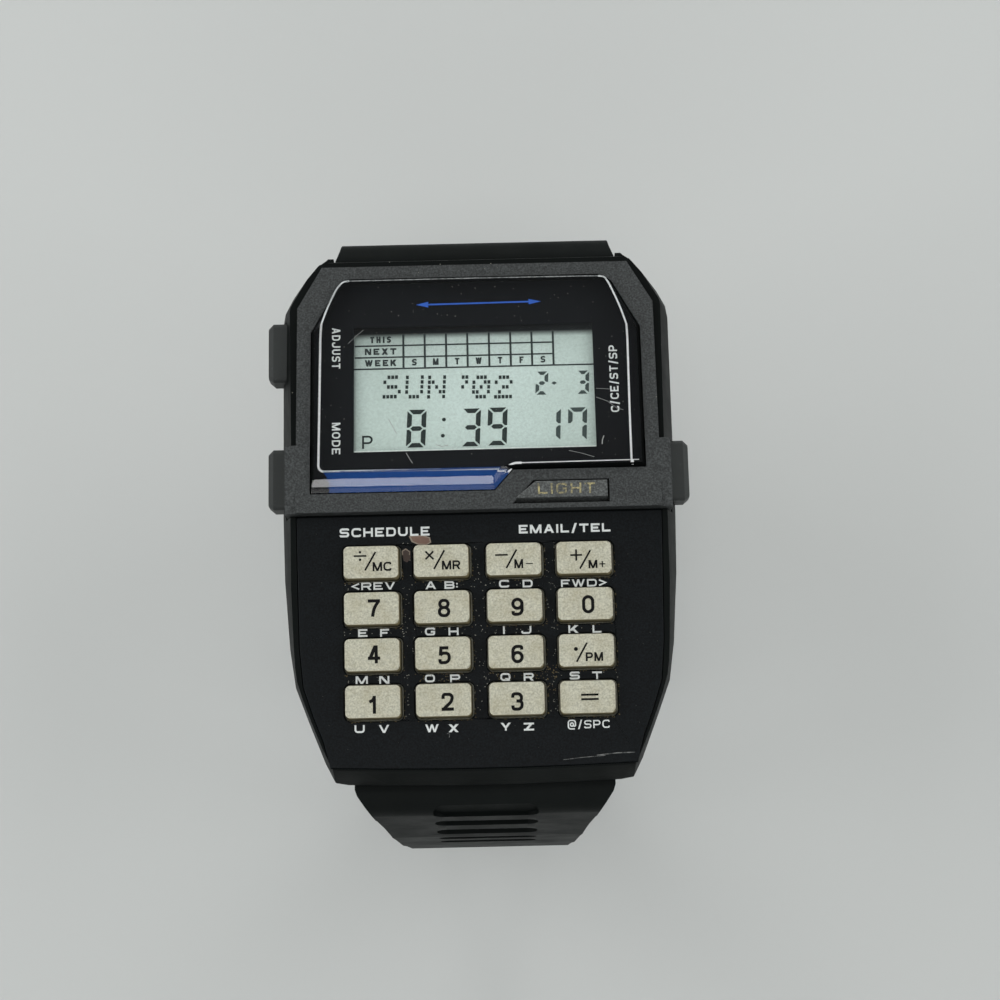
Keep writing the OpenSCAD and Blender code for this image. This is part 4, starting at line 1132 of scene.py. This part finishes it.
day_ink.done("display_day_number", SEGMENT_FAINT, "case", "display_glass")

# The date's signs, as rows of five dots from the top down
DOTS = {
    "S": ["01110", "10000", "01110", "00001", "11110"],
    "U": ["10001", "10001", "10001", "10001", "01110"],
    "N": ["10001", "11001", "10101", "10011", "10001"],
    "'": ["00011", "00001", "00010", "00000", "00000"],
    "0": ["01110", "10011", "10101", "11001", "01110"],
    "2": ["01110", "10001", "00110", "01000", "11111"],
}
DATE_X = -8.92
DATE_Y = 7.36
SIGN_STEP = (2.176, -0.052)
DOT_STEP = 0.366
ROW_STEP = (-0.032, -0.505)
lit_dots = []
for cell, sign in enumerate("SUN'02"):
    for r, row in enumerate(DOTS[sign]):
        for c, dot in enumerate(row):
            if dot == "1":
                x = DATE_X + SIGN_STEP[0] * cell + DOT_STEP * c + ROW_STEP[0] * r
                lit_dots.append((x, DATE_Y + SIGN_STEP[1] * cell + ROW_STEP[1] * r))
display_plates("display_date", lit_dots, 0.28, 0.36, 0.012, SEGMENT)


# Keypad marks


PANEL_INK_Z = 0.002
DIGIT_STROKE = 0.3
SIGN_STROKE = 0.17


def key_print(key):
    """Ink on a key, in the frame of its own middle."""
    x, y = KEY_PLACES[key]
    return Print(KEYPAD @ Matrix.Translation((x * MM, y * MM, 0)), KEY_TOP + 0.002, 0.01)


for digit, x, y, wide, high in (
        ("7", 0.18, 0.11, 1.16, 1.65), ("8", 0.13, -0.04, 1.18, 1.75), ("9", 0.18, -0.08, 1.16, 1.71),
        ("0", 0.21, 0.01, 1.16, 1.73), ("4", 0.12, 0.12, 1.16, 1.69), ("5", 0.1, -0.11, 1.17, 1.69),
        ("6", 0.08, -0.15, 1.15, 1.73), ("1", -0.04, -0.22, 1.03, 1.67), ("2", 0.31, -0.09, 1.15, 1.69),
        ("3", -0.03, -0.21, 1.15, 1.73)):
    key = "key_" + digit
    face = key_print(key)
    face.words(digit, x, y, high, DIGIT_STROKE, wide=wide, radius=0.6)
    face.done("sign_" + key, KEY_INK, key, "key_paint")

# Each sign's middle, the ends of its slanted line, and the box of the letters beside it
for sign, (x, y), slant, words, (left, right, bottom, top) in (
        ("divide", (-1.08, 0.69), [(-0.62, -0.69), (0.39, 1.05)], "MC", (0.1, 1.88, -0.78, 0.08)),
        ("multiply", (-1.16, 0.61), [(-0.75, -0.71), (0.26, 1.06)], "MR", (0.01, 1.75, -0.78, 0.07)),
        ("minus", (-1.22, 0.49), [(-0.78, -0.78), (0.22, 0.98)], "M", (-0.02, 0.82, -0.81, 0.05)),
        ("plus", (-0.8, 0.32), [(-0.48, -0.99), (0.56, 0.76)], "M", (0.35, 1.19, -0.96, -0.18)),
        ("point", (-1.07, 0.2), [(-1.03, -1.02), (-0.02, 0.76)], "PM", (-0.16, 1.47, -0.97, -0.14))):
    key = "key_" + sign
    face = key_print(key)
    face.line(slant, SIGN_STROKE)
    middle = ((left + right) / 2, (bottom + top) / 2)
    face.words(words, *middle, top - bottom, SIGN_STROKE, span=right - left, gap=0.12)
    if sign == "divide":
        face.bar(x - 0.61, y - 0.08, x + 0.61, y + 0.08)
        face.disc(x, y + 0.36, 0.12)
        face.disc(x, y - 0.36, 0.12)
    elif sign == "multiply":
        face.line([(x - 0.38, y - 0.38), (x + 0.38, y + 0.38)], SIGN_STROKE)
        face.line([(x - 0.38, y + 0.38), (x + 0.38, y - 0.38)], SIGN_STROKE)
    elif sign == "minus":
        face.bar(x - 0.6, y - 0.08, x + 0.6, y + 0.08)
        face.bar(1.07, -0.43, 1.73, -0.34)
    elif sign == "plus":
        face.line([(x - 0.56, y), (x + 0.56, y)], SIGN_STROKE)
        face.line([(x, y - 0.54), (x, y + 0.54)], SIGN_STROKE)
        face.line([(1.37, -0.58), (1.94, -0.58)], 0.11)
        face.line([(1.655, -0.87), (1.655, -0.3)], 0.11)
    else:
        face.disc(x, y, 0.19)
    face.done("sign_" + key, KEY_INK, key, "key_paint")

face = key_print("key_equals")
face.bar(-0.7, 0.18, 0.94, 0.37)
face.bar(-0.7, -0.24, 0.94, -0.05)
face.done("sign_key_equals", KEY_INK, "key_equals", "key_paint")


# Key panel and light button marks


top_labels = Print(KEYPAD, PANEL_INK_Z)
top_labels.words("SCHEDULE", -9.06, -1.74, 0.86, 0.19, span=8.6, gap=0.22)
top_labels.words("EMAIL/TEL", 8.15, -1.77, 0.82, 0.19, span=8.75, gap=0.22)
top_labels.done("label_top", WHITE_INK, "case", "panel_plastic")
low_labels = Print(KEYPAD, PANEL_INK_Z)
for text, left, right, y in (("<REV", -12.27, -8.13, -6.9), ("FWD>", 7.67, 11.98, -7.05)):
    low_labels.words(text, (left + right) / 2, y, 0.72, 0.155, span=right - left, gap=0.2)
for text, x, y in (
        ("A", -4.74, -6.94), ("B", -2.95, -6.96), ("C", 2.24, -6.95), ("D", 4.49, -6.98),
        ("E", -11.27, -11.34), ("F", -9.2, -11.36), ("G", -4.88, -11.34), ("H", -2.65, -11.38),
        ("I", 2.13, -11.37), ("J", 4.26, -11.4), ("K", 8.73, -11.42), ("L", 10.96, -11.45),
        ("M", -11.42, -15.78), ("N", -9.29, -15.82), ("O", -4.97, -15.77), ("P", -2.58, -15.82),
        ("Q", 2.17, -15.8), ("R", 4.38, -15.84), ("S", 8.73, -15.81), ("T", 10.84, -15.84),
        ("U", -11.68, -20.38), ("V", -9.38, -20.42), ("W", -4.86, -20.46), ("X", -2.82, -20.5),
        ("Y", 2.1, -20.47), ("Z", 4.28, -20.51)):
    low_labels.words(text, x, y, 0.74, 0.17, wide=0.96)
low_labels.words(":", -2.24, -6.97, 0.66, 0.15, wide=0.2)
low_labels.words("@/SPC", 9.92, -20.41, 0.76, 0.125, span=3.96, gap=0.17)
low_labels.done("label_low", WHITE_INK, "case", "panel_plastic")

light_label = Print(LEVEL, LIGHT_TOP + 0.002, 0.01)
light_label.words("LIGHT", 8.4, 1.27, 1.02, 0.18, span=5.45, gap=0.34, radius=0.24)
light_label.done("label_light", GOLD_INK, "light_button", "bezel_plastic")


# Wear, dirt and painted shade


def flat_strips(name, strips, place, z):
    """A mesh of flat strips, given by their left, low, right and high edges."""
    bm = bmesh.new()
    for x0, y0, x1, y1 in strips:
        corners = ((x0, y0), (x1, y0), (x1, y1), (x0, y1))
        bm.faces.new([bm.verts.new(row_point(place, x, y, z)) for x, y in corners])
    return made(name, bm)


def strewn(name, strips, place, z, density, radius, seed, smallest, largest, material):
    """Flecks strewn over flat strips, so many to the square metre, each scaled to between two sizes."""
    settings = {
        "Density": density, "Radius": radius * MM, "Seed": seed, "Smallest": smallest, "Largest": largest,
        "Material": material,
    }
    grown(name, flat_strips(name, strips, place, z), FLECKS, settings, "case")


# Strips between the keys, along their low and right sides for dirt and painted shade, and where dirt lies
# thickest
between = [((a + b) / 2 - 0.62, -19.6, (a + b) / 2 + 0.62, -2.6) for a, b in zip(KEY_X, KEY_X[1:])]
between += [(-13.2, y - 2.5, 12.9, y - 1.9) for y in KEY_Y[:3]]
dirt_and_shade_strips = []
for x in KEY_X:
    for y in KEY_Y:
        dirt_and_shade_strips += [(x - 2.75, y - 1.87, x + 2.75, y - 1.78), (x + 2.82, y - 1.7, x + 2.95, y + 1.2)]
grimy = [(-6.0, -16.1, -2.0, -15.4), (1.4, -16.1, 6.2, -15.4), (6.1, -17.2, 7.1, -14.8)]
# The dirt flecks along the keys' low and right sides are partly painted shade
for name, strips, density, radius, seed, material in (
        ("dust", between, 2.2e6, 0.045, 3, DUST), ("dirt", dirt_and_shade_strips, 2.2e7, 0.06, 8, DIRT_AND_SHADE),
        ("dirt_thick", grimy, 1.2e7, 0.06, 4, DIRT_AND_SHADE)):
    strewn(name, strips, KEYPAD, 0.004, density, radius, seed, (0.5, 0.4, 0.15), (1.6, 1.1, 0.3), material)

over_display = [(-15.3, -2.0, 15.3, 11.5), (-13.0, 11.5, 13.0, 16.2)]
strewn("crystal_dust", over_display, DISPLAY, CRYSTAL_Z + 0.002, 4e5, 0.033, 11, (0.4, 0.3, 0.1),
       (1.8, 1.0, 0.2), DUST)
over_bezel = [(-18.2, -3, -16.4, 11), (16.4, -3, 18.2, 11), (-12, 17.4, 12, 19)]
strewn("bezel_dust", over_bezel, DISPLAY, 0.003, 1.6e5, 0.04, 21, (0.4, 0.3, 0.1), (1.6, 1.0, 0.3), DUST)

# Two paint chips below the cross bar, each with a paler rim
CHIP_OUTLINE = [
    (-6.55, -2.27), (-6.35, -2.68), (-5.85, -2.92), (-5.1, -2.98),
    (-4.74, -2.8), (-4.85, -2.42), (-5.35, -2.25), (-6.1, -2.22),
]
CHIP_RIM_OUTLINE = [
    (-6.75, -2.2), (-6.5, -2.75), (-5.9, -3.02), (-5.1, -3.1),
    (-4.62, -2.85), (-4.72, -2.35), (-5.3, -2.15), (-6.1, -2.12),
]
DARK_CHIP_OUTLINE = [
    (-7.42, -3.55), (-7.3, -4.5), (-6.95, -4.72), (-6.6, -4.3), (-6.66, -3.7), (-7.05, -3.48),
]
for name, low, thick, outline, material in (
        ("paint_chip_rim", 0.001, 0.012, CHIP_RIM_OUTLINE, CHIP_RIM),
        ("paint_chip", 0.004, 0.014, CHIP_OUTLINE, CHIP),
        ("paint_chip_dark", 0.001, 0.012, DARK_CHIP_OUTLINE, DARK_CHIP)):
    chip = Print(KEYPAD, low, thick)
    chip.shape(outline)
    chip.done(name, material, "case", "panel_plastic")
rim = Print(KEYPAD, 0.014, 0.006)
rim.line([(-7.36, -4.0), (-7.4, -3.62), (-7.06, -3.42), (-6.68, -3.7), (-6.72, -4.0)], 0.1)
rim.done("paint_chip_dark_rim", CHIP_RIM, "case", "panel_plastic")
marks = Print(KEYPAD, 0.002, 0.006)
marks.line([(-3.45, -20.98), (-3.2, -21.0), (-3.25, -21.35)], 0.06)
marks.line([(7.4, -23.68), (9.2, -23.5), (11.4, -23.36)], 0.05)
marks.line([(10.6, -23.32), (12.6, -23.14), (14.2, -23.12)], 0.09)
marks.done("panel_scratches", PANEL_SCRATCH, "case", "panel_plastic")
printed_lines("crystal_scratches", SCRATCH, CRYSTAL_Z - 0.001, [
    ([(-8.5, 2.35), (-8.1, 1.6), (-7.75, 0.88)], 0.05),
    ([(-6.84, -1.08), (-6.5, -1.7), (-6.24, -2.13)], 0.06),
    ([(-4.0, -0.34), (-3.4, -0.52), (-2.8, -0.42)], 0.05),
    ([(12.14, 0.2), (11.98, -0.2), (11.93, -0.65)], 0.09),
    ([(11.55, 5.03), (12.93, 4.92)], 0.03),
    ([(11.52, 4.14), (12.6, 3.7), (13.5, 2.95), (14.1, 2.77)], 0.035),
    ([(8.73, -1.21), (9.9, -1.5), (11.15, -1.91)], 0.035),
    ([(-12.4, 10.2), (-11.6, 11.0), (-10.9, 11.6)], 0.03),
], 0.004)


# Module and small metal parts


def paint(material, *names):
    """Gives CAD nodes that show as they are their material."""
    for name in names:
        mesh = nodes[name].data
        mesh.materials.clear()
        mesh.materials.append(material)


paint(BRIGHT, "case_back_screws", "spring_bar_upper", "spring_bar_lower", "buckle_pin", "pusher_clip_adjust",
      "pusher_clip_mode", "pusher_clip_clear", "contact_springs", "battery_clip", "buzzer_spring")
paint(STEEL, "battery", "quartz_can")
paint(BRASS, "light_contact", "buzzer_disc")
paint(BOARD, "keypad_board", "circuit_board")
paint(RUBBER, "keypad_membrane", "zebra_strips")
paint(BLACK_RUBBER, "case_back_gasket")
paint(MASK, "controller_chip")
paint(WHITE_PLASTIC, "module_frame")
paint(BACKLIGHT, "backlight_panel")


# Stage


def stage_floor():
    """A pale floor that the strap just touches."""
    n = Nodes("floor")
    tone = n.ramp(n.noise(160, 2), [(0.3, srgb(196, 199, 197)), (0.7, srgb(200, 203, 201))])
    n.set("Base Color", tone)
    n.set("Roughness", 0.85)
    low = cad_bounds[0][2]
    bm = bmesh.new()
    bmesh.ops.create_grid(bm, x_segments=1, y_segments=1, size=2.5)
    for v in bm.verts:
        v.co.z = low
    mesh = made("floor", bm)
    mesh.materials.append(n.material)
    floor = bpy.data.objects.new("floor", mesh)
    bpy.context.scene.collection.objects.link(floor)


def light(name, place, size, power):
    """A square lamp aimed at the case, of a size in metres and a power in watts."""
    data = bpy.data.lights.new(name, "AREA")
    data.energy = power
    data.size = size
    lamp = bpy.data.objects.new(name, data)
    bpy.context.scene.collection.objects.link(lamp)
    lamp.location = place
    lamp.rotation_euler = (Vector((0, 0, 0)) - Vector(place)).to_track_quat("-Z", "Y").to_euler()


# The camera's lens in millimetres, its height and roll in degrees, its distance and what it looks at
LENS = 68.4
CAMERA_HEIGHT = math.radians(78.5)
CAMERA_ROLL = math.radians(1.3)
CAMERA_DISTANCE = 181
CAMERA_TARGET = Vector((2.04, 0.3, 10.4))


def camera():
    """The camera of the main picture, steeply above the 6 o'clock end."""
    data = bpy.data.cameras.new("camera")
    data.sensor_width = 36
    data.lens = LENS
    data.clip_start = 0.01
    holder = bpy.data.objects.new("camera", data)
    bpy.context.scene.collection.objects.link(holder)
    back = Vector((0, -math.cos(CAMERA_HEIGHT), math.sin(CAMERA_HEIGHT)))
    right = Vector((1, 0, 0))
    up = back.cross(right)
    turned_right = right * math.cos(CAMERA_ROLL) - up * math.sin(CAMERA_ROLL)
    turned_up = right * math.sin(CAMERA_ROLL) + up * math.cos(CAMERA_ROLL)
    spin = Matrix((turned_right, turned_up, back)).transposed().to_4x4()
    place = CAMERA_TARGET * MM + back * (CAMERA_DISTANCE * MM)
    holder.matrix_world = Matrix.Translation(place) @ spin
    bpy.context.scene.camera = holder


stage_floor()
camera()
light("left light", (-0.8, 0.1, 0.6), 0.9, 5.3)
light("right light", (0.8, 0.1, 0.6), 0.9, 4.6)
light("back light", (0.0, 0.9, 0.55), 0.8, 3.0)
light("front light", (0.0, -0.9, 0.6), 0.8, 1.7)
light("high light", (-0.02, -0.35, 1.15), 0.3, 1.9)


# The room's brightness at heights from level, 0, to straight above, 1
ROOM_LEVELS = ((0, 0.3), (0.7, 0.27), (0.9, 0.11), (1, 0.06))


def room():
    """An even pale room, darker straight above, where a flat face mirrors the camera's side."""
    world = bpy.data.worlds.new("room")
    world.use_nodes = True
    tree = world.node_tree
    coords = tree.nodes.new("ShaderNodeTexCoord")
    parts = tree.nodes.new("ShaderNodeSeparateXYZ")
    ramp = tree.nodes.new("ShaderNodeValToRGB")
    tree.links.new(coords.outputs["Generated"], parts.inputs[0])
    tree.links.new(parts.outputs["Z"], ramp.inputs["Fac"])
    elements = ramp.color_ramp.elements
    while len(elements) < len(ROOM_LEVELS):
        elements.new(0.5)
    for element, (position, level) in zip(elements, ROOM_LEVELS):
        element.position = position
        element.color = (level * 0.98, level, level, 1)
    tree.links.new(ramp.outputs["Color"], tree.nodes["Background"].inputs["Color"])
    return world


bpy.context.scene.world = room()
bpy.context.scene.view_settings.view_transform = "Standard"
